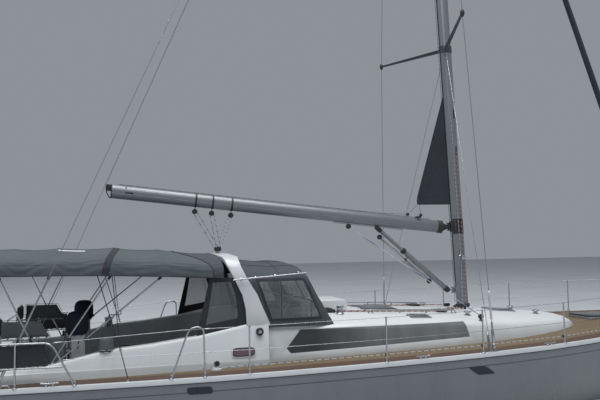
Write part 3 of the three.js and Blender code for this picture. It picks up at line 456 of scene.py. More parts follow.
studio = {
    "sky": (0.8, 0.87, 0.96),
    "skyStrength": 0.33,
    "keyEnergy": 17500,
    "keyPlace": (-4, -8, 40),
    "keySize": 34,
    "fillEnergy": 400,
    "fillPlace": (14, -12, 16),
    "floorSize": 160,
}
world = bpy.data.worlds.new("overcast")
bpy.context.scene.world = world
world.use_nodes = True
world.node_tree.nodes["Background"].inputs[0].default_value = (*studio["sky"], 1)
world.node_tree.nodes["Background"].inputs[1].default_value = studio["skyStrength"]
for key in ("key", "fill"):
    bpy.ops.object.light_add(type="AREA", location=studio[key + "Place"])
    lamp = bpy.context.object
    lamp.name = key + "Light"
    lamp.data.energy = studio[key + "Energy"]
    lamp.data.size = studio["keySize"]
    lamp.rotation_euler = (Vector((0, 0, 2)) - lamp.location).to_track_quat("-Z", "Y").to_euler()
bpy.context.scene.view_settings.view_transform = "Standard"


def floorFinish():
    f = Finish("pale_floor")
    tone = f.ramp(f.noise(0.35, 4), 0.3, 0.7)
    return f.surface(f.blend(tone, (0.5, 0.52, 0.54), (0.56, 0.58, 0.6)), 0.75)


bpy.ops.mesh.primitive_plane_add(size=studio["floorSize"])
floor = bpy.context.object
floor.name = "floor"
floor.data.materials.append(floorFinish())
print("Camera, light and floor set")


# Finishes

def railCurve(f, x):
    # The height of the rail along the hull
    low, high = railRows[0][0], railRows[-1][0]
    points = [((at - low) / (high - low), z / 2) for at, z, _ in railRows]
    return f.node("ShaderNodeFloatCurve", {"points": points}, {1: (x - low) / (high - low)}) * 2


def beamCurve(f, x):
    # Half the beam along the hull
    low, high = railRows[0][0], railRows[-1][0]
    points = [((at - low) / (high - low), half / 3) for at, _, half in railRows]
    return f.node("ShaderNodeFloatCurve", {"points": points}, {1: (x - low) / (high - low)}) * 3


def topsidesFinish():
    f = Finish("grey_topsides")
    x, y, z = f.axes()
    streaks = f.ramp(f.noise(1.0, 5, 0.6, (3.5, 3.5, 0.35)), 0.35, 0.75)
    haze = f.ramp(f.noise(0.5, 3), 0.3, 0.7)
    grey = f.blend(haze, (0.15, 0.166, 0.178), (0.178, 0.194, 0.205))
    grey = f.blend(streaks * 0.35, grey, (0.115, 0.125, 0.13))
    below = railCurve(f, x) - z
    pinstripe = f.between(below, 0.205, 0.222)
    grey = f.blend(pinstripe, grey, (0.055, 0.06, 0.066))
    scum = f.ramp(z + f.noise(2.5, 4) * 0.06, 0.22, 0.1)
    grey = f.blend(scum * 0.5, grey, (0.13, 0.125, 0.09))
    boot = f.between(z, 0.075, 0.125)
    grey = f.blend(boot, grey, (0.6, 0.62, 0.62))
    bottom = z < 0.075
    weed = f.blend(f.ramp(f.noise(6, 5), 0.35, 0.7), (0.012, 0.018, 0.03), (0.03, 0.038, 0.04))
    grey = f.blend(bottom, grey, weed)
    rough = f.mixed(bottom, f.ramp(streaks, 0, 1, 0.2, 0.32), 0.8)
    normal = f.bump(f.noise(2.2, 2), 0.06, 0.01)
    return f.surface(grey, rough, **{"Normal": normal, "Coat Weight": 0.3, "Coat Roughness": 0.1})


def gelcoatFinish(name="white_gelcoat", nonSkid=True, whiteTo=None, boards=(), inner=None):
    # Below whiteTo under the rail it has the colour of the topsides; boards are heights laid with teak,
    # and forward of inner the upright face is laid with it too
    f = Finish(name)
    patch = f.ramp(f.noise(0.9, 4), 0.3, 0.72)
    white = f.blend(patch, (0.585, 0.62, 0.63), (0.66, 0.69, 0.7))
    runs = f.ramp(f.noise(1.0, 5, 0.62, (5, 5, 0.6)), 0.52, 0.8)
    white = f.blend(runs * 0.35, white, (0.48, 0.48, 0.44))
    grain = f.noise(420, 2)
    flat = f.upward()
    if nonSkid:
        white = f.blend(flat * 0.3, white, (0.6, 0.62, 0.62))
    rough = f.mixed(flat, 0.28, 0.62 if nonSkid else 0.3)
    normal = f.bump(grain * flat, 0.35 if nonSkid else 0.03, 0.0015)
    x, y, z = f.axes()
    if whiteTo:
        grey = f.blend(patch, (0.15, 0.166, 0.178), (0.178, 0.194, 0.205))
        white = f.blend(f.ramp(railCurve(f, x) - z, whiteTo, whiteTo + 0.003), white, grey)

    def planked(laid, stretch):
        seams = 1 - f.between(((y + 10) / 0.06).fraction(), 0.045, 0.955)
        grain = f.ramp(f.noise(9, 6, 0.65, stretch), 0.3, 0.72)
        wood = f.blend(grain, (0.12, 0.088, 0.062), (0.2, 0.145, 0.1))
        return f.blend(laid, white, f.blend(seams, wood, (0.02, 0.019, 0.018)))

    for low, high, outer in boards:
        laid = f.between(z, low, high) * f.ramp(f.upward(), 0.7, 0.75) * f.between(abs(y), -1, outer)
        white = planked(laid, (0.6, 14, 6))
    if inner:
        laid = f.ramp(x, inner, inner + 0.002) * f.between(abs(y), -1, 0.9) * f.between(z, 0.5, 1.06)
        white = planked(laid, (14, 14, 0.6))
    return f.surface(white, rough, **{"Normal": normal, "Coat Weight": 0.2, "Coat Roughness": 0.15})


def teakFinish(name, width, tone, seam=0.09, swept=False, shadeBandWidth=0.0):
    # Planks along X with dark caulking; swept planks follow the edge of the deck, and near that edge a band
    # of painted shade darkens the wood
    f = Finish(name)
    x, y, z = f.axes()
    across = beamCurve(f, x) - abs(y) if swept else y + 10
    row = across / width
    share = row.fraction()
    caulk = 1 - f.between(share, seam / 2, 1 - seam / 2)
    plank = f.node("ShaderNodeTexWhiteNoise", {"noise_dimensions": "1D"}, {"W": row.whole()})
    grain = f.noise(9, 6, 0.65, (0.6, 14, 6))
    weather = f.ramp(f.noise(1.3, 4), 0.3, 0.75)
    dark = tuple(c * 0.62 for c in tone)
    wood = f.blend(f.ramp(grain, 0.3, 0.72), dark, tone)
    wood = f.blend(plank * 0.4, wood, tuple(c * 1.22 for c in tone))
    wood = f.blend(weather * 0.3, wood, (0.17, 0.145, 0.105))
    if shadeBandWidth:
        # Painted shade: a dark band along the deck's outer edge, beside the toe rail
        edge = f.ramp(across + f.noise(3, 3) * 0.06, shadeBandWidth, shadeBandWidth + 0.05, 1, 0)
        wood = f.blend(edge * 0.9, wood, (0.085, 0.045, 0.032))
    wood = f.blend(caulk, wood, (0.02, 0.019, 0.018))
    rough = f.ramp(grain, 0, 1, 0.55, 0.85)
    normal = f.bump(grain * 0.4 - caulk, 0.35, 0.0015)
    return f.surface(wood, rough, Normal=normal)


def glassFinish(name, colour, alpha=1.0, rough=0.07, wave=0.0, smear=(0.3, 0.31, 0.31), aft=None):
    f = Finish(name)
    film = f.ramp(f.noise(3.0, 5, 0.6, (1, 1, 0.45)), 0.42, 0.85)
    tint = f.blend(film * 0.35, colour, smear)
    if aft:
        # Darker towards the aft end as a painted reflection of dark things beside the boat, and a painted
        # corner that makes this end blunt
        x, y, z = f.axes()
        tint = f.blend(f.ramp(x + f.noise(1.5, 3) * 0.5, -1.9, -0.9, 1, 0), tint, aft)
        tint = f.blend(f.ramp(x * 0.769 + z * 0.639, -1.146, -1.149), tint, (0.7, 0.73, 0.74))
    extra = {"Alpha": alpha, "IOR": 1.5}
    if wave:
        extra["Normal"] = f.bump(f.noise(2.6, 2, 0.5, (1, 1, 0.6)), wave, 0.03)
    return f.surface(tint, f.ramp(film, 0, 1, rough, rough + 0.12), **extra)


def metalFinish(name, colour, rough=0.25, metal=1.0, drawn=(1, 1, 1), scale=60, tarnish=(0.32, 0.27, 0.2)):
    f = Finish(name)
    lines = f.noise(scale, 4, 0.6, drawn)
    stain = f.ramp(f.noise(4, 5), 0.58, 0.82)
    tint = f.blend(f.ramp(lines, 0.3, 0.7) * 0.5, colour, tuple(c * 0.8 for c in colour))
    tint = f.blend(stain * 0.3, tint, tarnish)
    spread = f.ramp(lines, 0.3, 0.7, rough * 0.8, rough * 1.5)
    return f.surface(tint, spread, Metallic=metal, Normal=f.bump(lines, 0.08, 0.0006))


def plasticFinish(name, colour, rough=0.45, grain=300, strength=0.2):
    f = Finish(name)
    dust = f.ramp(f.noise(7, 5), 0.45, 0.8)
    tint = f.blend(dust * 0.35, colour, tuple(0.6 * c + 0.08 for c in colour))
    return f.surface(tint, f.ramp(dust, 0, 1, rough, rough + 0.2),
                     Normal=f.bump(f.noise(grain, 2), strength, 0.0006))


def clothFinish(name, colour, fadedAndLit, weave=900, stain=0.3):
    # Woven acrylic canvas: crossing threads, faded blotches, painted top light that makes what looks up
    # lighter, and drip marks
    f = Finish(name)
    x, y, z = f.axes()
    threads = (x * weave).sine() * ((y + z) * weave).sine()
    blotch = f.ramp(f.noise(1.4, 5, 0.6), 0.3, 0.75)
    tint = f.blend(blotch, colour, fadedAndLit)
    # Painted light from above: faces that look up are made lighter than the sides
    tint = f.blend(f.upward() * 0.45, tint, tuple(c * 1.18 for c in fadedAndLit))
    drips = f.ramp(f.noise(1.0, 5, 0.65, (7, 7, 0.8)), 0.55, 0.82)
    tint = f.blend(drips * stain, tint, tuple(c * 0.55 for c in colour))
    slub = f.noise(160, 3)
    normal = f.bump(threads * 0.5 + slub, 0.3, 0.001)
    return f.surface(tint, f.ramp(slub, 0.2, 0.8, 0.82, 0.97), Normal=normal)


def ropeFinish(name, colour, fleck, pitch=70):
    # Braid: two crossing spirals of strands with a coloured fleck
    f = Finish(name)
    x, y, z = f.axes()
    strands = ((x + z) * pitch * 6).sine() * ((y - z) * pitch * 6).sine()
    marker = f.ramp(((x * 0.7 + z) * pitch).sine(), 0.55, 0.75)
    tint = f.blend(marker, colour, fleck)
    tint = f.blend(f.ramp(f.noise(20, 4), 0.45, 0.8) * 0.4, tint, (0.2, 0.19, 0.17))
    return f.surface(tint, 0.88, Normal=f.bump(strands, 0.5, 0.0012))


finishes = {
    "topsides": topsidesFinish(),
    "gelcoat": gelcoatFinish(),
    "plainGelcoat": gelcoatFinish("smooth_gelcoat", nonSkid=False),
    "deckGelcoat": gelcoatFinish("deck_gelcoat", nonSkid=False, whiteTo=0.078),
    "cockpitGelcoat": gelcoatFinish("cockpit_gelcoat", boards=[(0.7, 0.74, 1.6), (1.14, 1.18, 1.5)]),
    "platformGelcoat": gelcoatFinish("platform_gelcoat", inner=-7.427),
    # The deck teak has a painted shade band 0.42 m wide along its outer edge
    "deckTeak": teakFinish("teak_decking", 0.052, (0.185, 0.13, 0.068), swept=True, shadeBandWidth=0.42),
    "boardTeak": teakFinish("teak_boards", 0.06, (0.2, 0.145, 0.1), seam=0.07),
    # The window's darker aft colour is a painted reflection of something dark beside the boat
    "windowGlass": glassFinish("grey_window", (0.14, 0.152, 0.155), rough=0.2, aft=(0.044, 0.05, 0.054)),
    "smoked": glassFinish("smoked_acrylic", (0.03, 0.034, 0.038)),
    "portGlass": glassFinish("dark_portlight", (0.01, 0.014, 0.022), rough=0.38, smear=(0.02, 0.025, 0.03)),
    "vinyl": glassFinish("clear_vinyl", (0.16, 0.18, 0.19), alpha=0.42, rough=0.1, wave=0.5),
    "mauve": glassFinish("mauve_port", (0.165, 0.095, 0.15), rough=0.2, smear=(0.24, 0.17, 0.22)),
    "mast": metalFinish("anodised_mast", (0.27, 0.29, 0.31), 0.42, 0.75, (6, 6, 0.25), 30, (0.3, 0.31, 0.32)),
    "boom": metalFinish("anodised_boom", (0.25, 0.27, 0.29), 0.42, 0.7, (0.25, 6, 6), 30, (0.3, 0.31, 0.32)),
    "darkAlloy": metalFinish("dark_alloy", (0.085, 0.092, 0.1), 0.45, 0.6, (4, 0.6, 4), 40,
                             (0.12, 0.12, 0.12)),
    "steel": metalFinish("polished_steel", (0.46, 0.48, 0.5), 0.24),
    "dullSteel": metalFinish("galvanised_steel", (0.36, 0.37, 0.38), 0.5),
    "bronze": metalFinish("bronze", (0.5, 0.3, 0.13), 0.35, tarnish=(0.12, 0.2, 0.15)),
    "black": plasticFinish("black_fitting", (0.018, 0.019, 0.021)),
    "whitePlastic": plasticFinish("white_fitting", (0.62, 0.64, 0.64), 0.4),
    "rubber": plasticFinish("grey_rubbing_strip", (0.035, 0.037, 0.04), 0.6),
    "underwater": plasticFinish("antifouling", (0.016, 0.022, 0.034), 0.8, 90, 0.5),
    "engine": plasticFinish("engine_enamel", (0.34, 0.36, 0.38), 0.4),
    "leather": plasticFinish("stitched_leather", (0.045, 0.046, 0.05), 0.55, 220, 0.5),
    "bimini": clothFinish("bimini_canvas", (0.056, 0.07, 0.082), (0.09, 0.106, 0.12)),
    "dodger": clothFinish("dodger_canvas", (0.048, 0.058, 0.066), (0.06, 0.072, 0.081)),
    "darkCloth": clothFinish("dark_canvas", (0.02, 0.024, 0.029), (0.032, 0.037, 0.043)),
    "navyCloth": clothFinish("navy_canvas", (0.01, 0.014, 0.03), (0.018, 0.024, 0.044)),
    "seatCloth": clothFinish("seat_covers", (0.07, 0.08, 0.088), (0.115, 0.126, 0.134)),
    "sail": clothFinish("dark_sail", (0.022, 0.027, 0.034), (0.034, 0.041, 0.05), 300, 0.15),
    "whiteCloth": clothFinish("white_cloth", (0.55, 0.57, 0.58), (0.66, 0.68, 0.69)),
    "whiteRope": ropeFinish("white_rope", (0.52, 0.52, 0.49), (0.06, 0.09, 0.24)),
    "redRope": ropeFinish("red_rope", (0.3, 0.045, 0.04), (0.5, 0.48, 0.46)),
    "greyRope": ropeFinish("grey_rope", (0.22, 0.22, 0.21), (0.05, 0.05, 0.05)),
}
# The slot in the record that each finish usually belongs to; a rope has none
usualSlots = {
    "bimini": "canvas", "whiteCloth": "canvas", "seatCloth": "canvas",
    "dodger": "dark_canvas", "darkCloth": "dark_canvas", "navyCloth": "dark_canvas",
    "steel": "steel", "dullSteel": "alloy", "mast": "alloy", "boom": "alloy",
    "black": "black_fitting", "rubber": "black_fitting", "leather": "black_fitting",
    "whitePlastic": "gelcoat", "plainGelcoat": "gelcoat", "boardTeak": "teak", "vinyl": "clear_vinyl",
    "portGlass": "smoked_acrylic", "smoked": "smoked_acrylic", "mauve": "tinted_glass",
}
print("Finishes made:", len(finishes))


# The solids that only need easing and a finish: node, finish, bevel

refinedNodes = [
    ("hull", "topsides", 0), ("deck", "deckGelcoat", 0.004), ("teak_deck", "deckTeak", 0),
    ("teak_foredeck", "deckTeak", 0), ("coachroof", "gelcoat", 0.008), ("window_starboard", "windowGlass", 0),
    ("window_port", "windowGlass", 0), ("companionway_hatch", "smoked", 0.006),
    ("washboard", "smoked", 0.003), ("cockpit", "cockpitGelcoat", 0.01), ("engine", "engine", 0.02),
    ("fore_hatch_frame", "steel", 0.006),
    ("fore_hatch_lid", "smoked", 0.008), ("anchor_locker_lid", "plainGelcoat", 0.004),
    ("swim_platform", "platformGelcoat", 0.008), ("keel", "underwater", 0.004),
    ("rudder_starboard", "underwater", 0.004), ("rudder_port", "underwater", 0.004),
    ("saildrive", "underwater", 0.004), ("propeller", "bronze", 0.001), ("mast", "mast", 0),
    ("spreaders_lower", "darkAlloy", 0), ("spreaders_upper", "darkAlloy", 0), ("gooseneck", "black", 0.004),
    ("boom", "boom", 0.006), ("boom_gooseneck", "black", 0.003), ("vang", "boom", 0.002),
    ("furler_drum", "black", 0.006), ("headsail_roll", "sail", 0), ("arch", "plainGelcoat", 0.014),
    ("pedestal_starboard", "gelcoat", 0.012), ("pedestal_port", "gelcoat", 0.012),
    ("cockpit_table", "boardTeak", 0.006), ("bow_roller", "steel", 0.003), ("anchor", "dullSteel", 0.004),
]
slots = {row["node"]: row["material_slot"] for row in frame["record"]["subparts"]}
bodies = {node: body for body, nodes in frame["record"]["behaviour"]["bodies"].items() for node in nodes}
for node, finish, bevel in refinedNodes:
    piece = refined(node, node + "_shell", bevel)
    dress(piece, finish, bodies[node], slots[node], [node])
print("Solids eased and finished:", len(refinedNodes))


# Bimini: one sheet over four bows, slack between them, with sleeves, seams and a zipped joining panel

bimini = {
    "rows": [(-7.72, 1.72, 2.77, 3.14), (-7.15, 1.74, 2.78, 3.16), (-6.4, 1.75, 2.775, 3.165),
             (-5.5, 1.75, 2.755, 3.16), (-4.7, 1.745, 2.72, 3.115), (-3.745, 1.735, 2.67, 3.025)],
    "roundness": 0.55,
    "inset": 0.009,        # under the outer face of the solid
    "drop": 0.035,         # the cloth's edge under the solid's
    "sag": 0.026,          # between two bows, at the top
    "fold": 0.0085,        # height of the swags near the side edges
    "foldWidth": 0.105,
    "sleeveWidth": 0.07,
    "strapWidth": 0.115,
    "jointStart": -4.45,   # where the dark joining panel begins on the centreline
    "jointSweep": 0.52,
}


def eased(rows, x):
    # A smooth run through the rows of a table at x
    x = min(max(x, rows[0][0]), rows[-1][0])
    i = next(k for k in range(len(rows) - 1) if x <= rows[k + 1][0])
    a, b = rows[i], rows[i + 1]
    before, after = rows[max(i - 1, 0)], rows[min(i + 2, len(rows) - 1)]
    span = b[0] - a[0]
    t = (x - a[0]) / span
    values = []
    for k in range(1, len(a)):
        startSlope = (b[k] - before[k]) / (b[0] - before[0]) * span
        endSlope = (after[k] - a[k]) / (after[0] - a[0]) * span
        values.append(
            a[k] * (2 * t ** 3 - 3 * t ** 2 + 1) + startSlope * (t ** 3 - 2 * t ** 2 + t)
            + b[k] * (3 * t ** 2 - 2 * t ** 3) + endSlope * (t ** 3 - t ** 2))
    return values


def evenAngles(steps=600):
    # Angles at even distances round the section
    wide, high = 1.745, 0.35
    points = [(wide * cos(pi * i / steps), high * sin(pi * i / steps) ** bimini["roundness"])
              for i in range(steps + 1)]
    runs = [0.0]
    for (y0, z0), (y1, z1) in zip(points, points[1:]):
        runs.append(runs[-1] + hypot(y1 - y0, z1 - z0))
    return runs


sectionRuns = evenAngles()
biminiGirth = sectionRuns[-1]


def sectionAngle(distance):
    distance = min(max(distance, 0), biminiGirth)
    i = next(k for k in range(len(sectionRuns) - 1) if distance <= sectionRuns[k + 1])
    t = (distance - sectionRuns[i]) / max(sectionRuns[i + 1] - sectionRuns[i], 1e-9)
    return pi * (i + t) / (len(sectionRuns) - 1)


def biminiAt(x, distance, lift=0.0):
    # A point of the canopy; the distance runs round the section from the starboard edge
    half, edge, crown = eased(bimini["rows"], x)
    edge -= bimini["drop"]
    angle = pi - sectionAngle(distance)
    inset = bimini["inset"] - lift
    bows = [row[0] for row in bimini["rows"]][1:]
    fromEdge = min(distance, biminiGirth - distance)
    top = min(fromEdge / 0.9, 1) ** 2
    slack, fold = 0.0, 0.0
    for a, b in zip(bows, bows[1:]):
        if a < x < b:
            t = (x - a) / (b - a)
            span = sin(pi * t)
            slack = bimini["sag"] * span * (0.25 + 0.75 * top)
            drift = noise.noise(Vector((a * 3, 0, fromEdge * 4))) * 0.8
            swag = fromEdge + 0.13 * span + 0.03 * sin(7 * t + a)
            ripple = sin(swag / bimini["foldWidth"] * 2 * pi + drift)
            near = exp(-((fromEdge - 0.24) / 0.26) ** 2)
            fold = bimini["fold"] * ripple * (near + 0.12) * span ** 0.6
    wobble = 0.004 * noise.noise(Vector((x * 2.2, distance * 2.2, 1.7)))
    drop = inset + slack * 0.6 + abs(wobble)
    y = (half - drop * 0.6 + fold) * cos(angle)
    z = edge + (crown - edge - drop) * sin(angle) ** bimini["roundness"] - slack * 0.4 + fold * 0.6 * top
    return Vector((x, y, z))


def biminiStrip(name, centre, width, lift, steps=150, across=4):
    # A strip of cloth over the canopy, from edge to edge, its middle line at centre(distance)
    def place(u, v):
        distance = v * biminiGirth
        return biminiAt(centre(distance) + (u - 0.5) * width, distance, lift)
    return thicken(gridPiece(name, across, steps, place), 0.003, -1)


def jointLine(distance):
    y = biminiAt(-4.2, distance).y
    return bimini["jointStart"] + bimini["jointSweep"] * (abs(y) / 1.7) ** 2


aftEdge, foreEdge = bimini["rows"][0][0] + 0.004, bimini["rows"][-1][0] - 0.004
canopy = gridPiece("bimini_cloth", 150, 170, lambda u, v: biminiAt(
    aftEdge + u * (foreEdge - aftEdge), v * biminiGirth))
dress(smooth(thicken(canopy, 0.003, -1), 60), "bimini", replaces=["bimini_canopy"])

sleeves = [biminiStrip("sleeve", lambda d, at=at: at, bimini["sleeveWidth"], 0.002)
           for at in (-7.15, -6.4, -4.7)]
seams = []
for distance in (0.155, biminiGirth - 0.155, biminiGirth * 0.36, biminiGirth * 0.64):
    run = [biminiAt(aftEdge + (foreEdge - aftEdge) * i / 110, distance, 0.001) for i in range(111)]
    seams.append(tubePiece("seam", [run], 0.0032, resolution=1))
sleeves = join("bimini_sleeves", [*sleeves, *seams])
dress(smooth(sleeves, 60), "bimini")

strap = biminiStrip("bimini_strap", lambda d: -5.44 - 0.17 * abs(1 - 2 * d / biminiGirth) ** 3,
                    bimini["strapWidth"], 0.005)
dress(smooth(strap, 60), "darkCloth")


def joiningPlace(u, v):
    start = jointLine(v * biminiGirth)
    return biminiAt(start + u * (foreEdge - start), v * biminiGirth, 0.003)


joining = thicken(gridPiece("bimini_joining_panel", 24, 150, joiningPlace), 0.003, -1)
dress(smooth(joining, 60), "dodger")

hems = []
for distance in (0.002, biminiGirth - 0.002):
    hems.append([biminiAt(aftEdge + (foreEdge - aftEdge) * i / 90, distance, 0.002) for i in range(91)])
for x in (aftEdge, foreEdge):
    hems.append([biminiAt(x, biminiGirth * i / 120, 0.001) for i in range(121)])
zipLine = [biminiAt(jointLine(biminiGirth * i / 120), biminiGirth * i / 120, 0.006) for i in range(121)]
binding = dress(tubePiece("bimini_binding", [*hems, zipLine], 0.0062), "darkCloth")

patch = gridPiece("bimini_patch", 12, 8, lambda u, v: biminiAt(
    -6.36 + u * 0.42, biminiGirth * 0.252 + v * 0.17, 0.006))
dress(smooth(thicken(patch, 0.002, -1), 60), "whiteCloth")


# Tubes under the canopy, with their deck sockets, slides and tie-down straps

biminiTubes = {
    "radius": 0.013,
    "feet": [-6.45, -7.06, -6.45, -6.45],
    "footY": 1.66,
    "footZ": 1.31,
    "inset": 0.06,         # in from the cloth's edge
    "strapFoot": (-5.26, 2.13),
}
runs, braces = [], []
for (x, half, edge, crown), footX in zip(bimini["rows"][1:5], biminiTubes["feet"]):
    reach = 0.0145 + biminiTubes["radius"]
    across = []
    for i in range(41):
        angle = pi * i / 40
        across.append((x, (half - biminiTubes["inset"]) * cos(angle),
                       edge + (crown - edge - reach) * sin(angle) ** bimini["roundness"]))
    feet = [(footX, side * biminiTubes["footY"], biminiTubes["footZ"]) for side in (1, -1)]
    runs.append([feet[0], *across, feet[1]])
for side in bothSides:
    braces.append([(x, side * (half - biminiTubes["inset"]), edge - 0.005)
                   for x, half, edge, _ in bimini["rows"][1:5]])
tubes = tubePiece("bimini_tubes", runs, biminiTubes["radius"], bend=0.05, resolution=4)
braces = tubePiece("bimini_braces", braces, 0.011, resolution=3)
fittings = []
socketShape = [(40, 0), (40, 8), (24, 16), (21, 100), (17, 104)]
jawShape = [(19, -30), (21, -26), (21, 26), (19, 30)]
for side in bothSides:
    footY, footZ = side * biminiTubes["footY"], biminiTubes["footZ"]
    for x in sorted(set(biminiTubes["feet"]), reverse=True):
        at = (x, footY, topAt(x, footY, start=1.6))
        fittings.append(aimed(turnedPiece(socketShape, 20, 0.002), (0, 0, 1), at))
    for (x, half, edge, crown), footX in zip(bimini["rows"][1:5], biminiTubes["feet"]):
        foot, head = Vector((footX, footY, footZ)), Vector((x, side * (half - biminiTubes["inset"]), edge))
        for share in (0.32, 0.96):
            fittings.append(aimed(turnedPiece(jawShape, 16, 0.001), head - foot, foot.lerp(head, share)))
fittings = join("bimini_fittings", fittings)
tubes = join("bimini_tube_frame", [tubes, braces])
dress(tubes, "steel", replaces=["bimini_frame"])
dress(fittings, "black")

webbing, buckles = [], []
for side in bothSides:
    footX, footY = biminiTubes["strapFoot"]
    foot = Vector((footX, side * footY, topAt(footX, side * footY) + 0.035))
    joinPoint = Vector((-5.37, side * 2.02, 1.62))
    for topX in (-5.72, -5.5):
        start = Vector((topX, side * 1.725, 2.735))
        webbing.append([start, joinPoint])
    webbing.append([joinPoint, foot])
    ring = turnedPiece([(18, -12), (22, -8), (22, 8), (18, 12)], 16, 0.001)
    buckles.append(aimed(ring, joinPoint - foot, joinPoint))
    eye = turnedPiece([(30, 0), (30, 6), (12, 12), (9, 34), (6, 38)], 16, 0.001)
    buckles.append(moved(eye, (footX, side * footY, topAt(footX, side * footY))))
webbing = tubePiece("bimini_tie_downs", webbing, 0.0075, resolution=1)
dress(webbing, "darkCloth")
dress(join("tie_down_eyes", buckles), "steel")
print("Bimini sewn over its bows")


# Dodger: cloth over a steel frame, clear panes sewn into dark borders

dodger = {
    "rows": [(-3.41, 1.65, 1.61, 2.65, 2.915), (-2.9, 1.65, 1.6, 2.64, 2.87),
             (-2.29, 1.64, 1.555, 2.615, 2.8), (-2.04, 1.6, 1.49, 2.24, 2.42),
             (-1.8, 1.53, 1.4, 1.83, 1.96)],   # x, foot, half width, height of shoulder and crown
    "footZ": 1.79,
    "corner": 0.24,          # rounding of the shoulder
    "topAft": -3.438,        # the roof of the cloth runs up to the arch
    "border": 0.045,
    "sidePane": [(-2.92, 1.935), (-2.07, 1.935), (-2.36, 2.555), (-3.14, 2.555)],
    "frontPane": [(0.07, 2.115), (1.13, 2.115), (1.13, 2.52), (0.07, 2.52)],
}
roofTree = treeOf("coachroof", "cockpit")
aftX, foreX = dodger["rows"][0][0], dodger["rows"][-1][0]


def dodgerAt(x, share, lift=0.0):
    # A point of the dodger's cloth; the share runs from the starboard foot over the top to port
    foot, half, shoulder, crown = eased(dodger["rows"], x)
    foot, half, shoulder, crown = foot + lift, half + lift, shoulder + lift, crown + lift
    side = -1 if share < 0.5 else 1
    profile = rounded([(0, foot, dodger["footZ"]), (0, half + 0.015, shoulder + 0.015),
                       (0, half * 0.56, shoulder + (crown - shoulder) * 0.86), (0, 0, crown)],
                      dodger["corner"], 6)
    lengths = [(b - a).length for a, b in zip(profile, profile[1:])]
    distance = (1 - abs(2 * share - 1)) * sum(lengths)
    for a, b, length in zip(profile, profile[1:], lengths):
        if distance <= length or b is profile[-1]:
            at = a.lerp(b, min(distance / length, 1))
            break
        distance -= length
    if at.z > shoulder - 0.1 and x < aftX + 0.14:
        x -= (aftX - dodger["topAft"]) * (aftX + 0.14 - x) / 0.14 * min((at.z - shoulder + 0.1) / 0.1, 1)
    slack = 0.006 * noise.noise(Vector((x * 3.1, share * 9, 0.4)))
    z = at.z + slack - 0.012 * sin(pi * min(max(x - aftX, 0), 1)) * (at.z > shoulder)
    hit = roofTree.ray_cast(Vector((x, side * at.y, 2.6)), Vector((0, 0, -1)))
    if hit[0] is not None:
        z = max(z, hit[0].z + 0.004 + lift)
    return Vector((x, side * at.y, z))


def within(point, outline):
    turns = [(b[0] - a[0]) * (point[1] - a[1]) - (b[1] - a[1]) * (point[0] - a[0])
             for a, b in zip(outline, outline[1:] + outline[:1])]
    return min(turns) > 0 or max(turns) < 0


def grown(outline, by):
    middle = Vector((sum(p[0] for p in outline), sum(p[1] for p in outline))) / len(outline)
    return [tuple(Vector(p) + Vector([by if p[k] > middle[k] else -by for k in range(2)])) for p in outline]


def partedOff(name, cloth):
    # The selected faces as a piece of their own
    bpy.ops.object.mode_set(mode="EDIT")
    bpy.ops.mesh.separate(type="SELECTED")
    objectMode()
    patch = next(p for p in bpy.context.selected_objects if p is not cloth)
    patch.name = name
    return patch


def splitOut(name, cloth, outline, axes, keep):
    # Cuts a patch with straight sides out of a sheet and returns it as a piece of its own
    third = Vector([0 if k in axes else 1 for k in range(3)])
    wide = grown(outline, 0.15)
    for a, b in zip(outline, outline[1:] + outline[:1]):
        corner, run = Vector((0, 0, 0)), Vector((0, 0, 0))
        for k, axis in enumerate(axes):
            corner[axis] = a[k]
            run[axis] = b[k] - a[k]
        pick(cloth)
        for face in cloth.data.polygons:
            face.select = keep(face.center) and within([face.center[axis] for axis in axes], wide)
        bpy.ops.object.mode_set(mode="EDIT")
        bpy.ops.mesh.bisect(plane_co=corner, plane_no=run.cross(third).normalized())
        objectMode()
    bpy.ops.object.mode_set(mode="EDIT")
    bpy.ops.mesh.select_mode(type="FACE")
    bpy.ops.mesh.select_all(action="DESELECT")
    objectMode()
    for face in cloth.data.polygons:
        face.select = keep(face.center) and within([face.center[axis] for axis in axes], outline)
    return partedOff(name, cloth)


hood = gridPiece("dodger_cloth", 60, 110, lambda u, v: dodgerAt(aftX + u * (foreX - aftX), v))
borders, hoodPanes = [], []
for name, side in sides.items():
    def sideKeep(c, side=side):
        return c.y * side > 1.3

    def frontKeep(c, side=side):
        return c.x > -2.5 and c.y * side > 0

    front = [(side * y, z) for y, z in dodger["frontPane"]]
    for kind, outline, axes, keep in (("side", dodger["sidePane"], (0, 2), sideKeep),
                                      ("front", front, (1, 2), frontKeep)):
        border = splitOut("border", hood, grown(outline, dodger["border"]), axes, keep)
        pane = splitOut(f"dodger_{kind}_window_{name}", border, outline, axes, keep)
        borders.append(border)
        hoodPanes.append(pane)
        thicken(pane, 0.0015)
        dress(smooth(pane, 60), "vinyl",
              replaces=[f"dodger_{kind}_pane_{name}"])
borders = join("dodger_borders", borders)
thicken(borders, 0.005)
dress(smooth(borders, 60), "darkCloth")
thicken(hood, 0.003)
dress(smooth(hood, 60), "dodger", replaces=["dodger"])

dodgerSeams = []
for share in (0.285, 0.715, 0.42, 0.58):
    dodgerSeams.append([dodgerAt(aftX + (foreX - aftX) * i / 57, share, 0.003) for i in range(58)])
for x in (-3.39, -2.76, -2.23, -1.82):
    dodgerSeams.append([dodgerAt(x, i / 120, 0.003) for i in range(121)])
dodgerSeams = dress(tubePiece("dodger_seams", dodgerSeams, 0.0038, resolution=1), "darkCloth")

hoops = [[dodgerAt(x, i / 60, -0.022) for i in range(61)] for x in (-3.33, -2.76, -2.31)]
for side in bothSides:
    hoops.append([(-2.76, side * 1.575, 1.9), (-2.57, side * 1.575, 2.27), (-2.72, side * 1.565, 2.58)])
    hoops.append([(-3.33, side * 1.59, 2.5), (-2.57, side * 1.575, 2.27), (-2.32, side * 1.54, 2.45)])
dress(tubePiece("dodger_frame", hoops, 0.0105, bend=0.02, resolution=3), "steel")

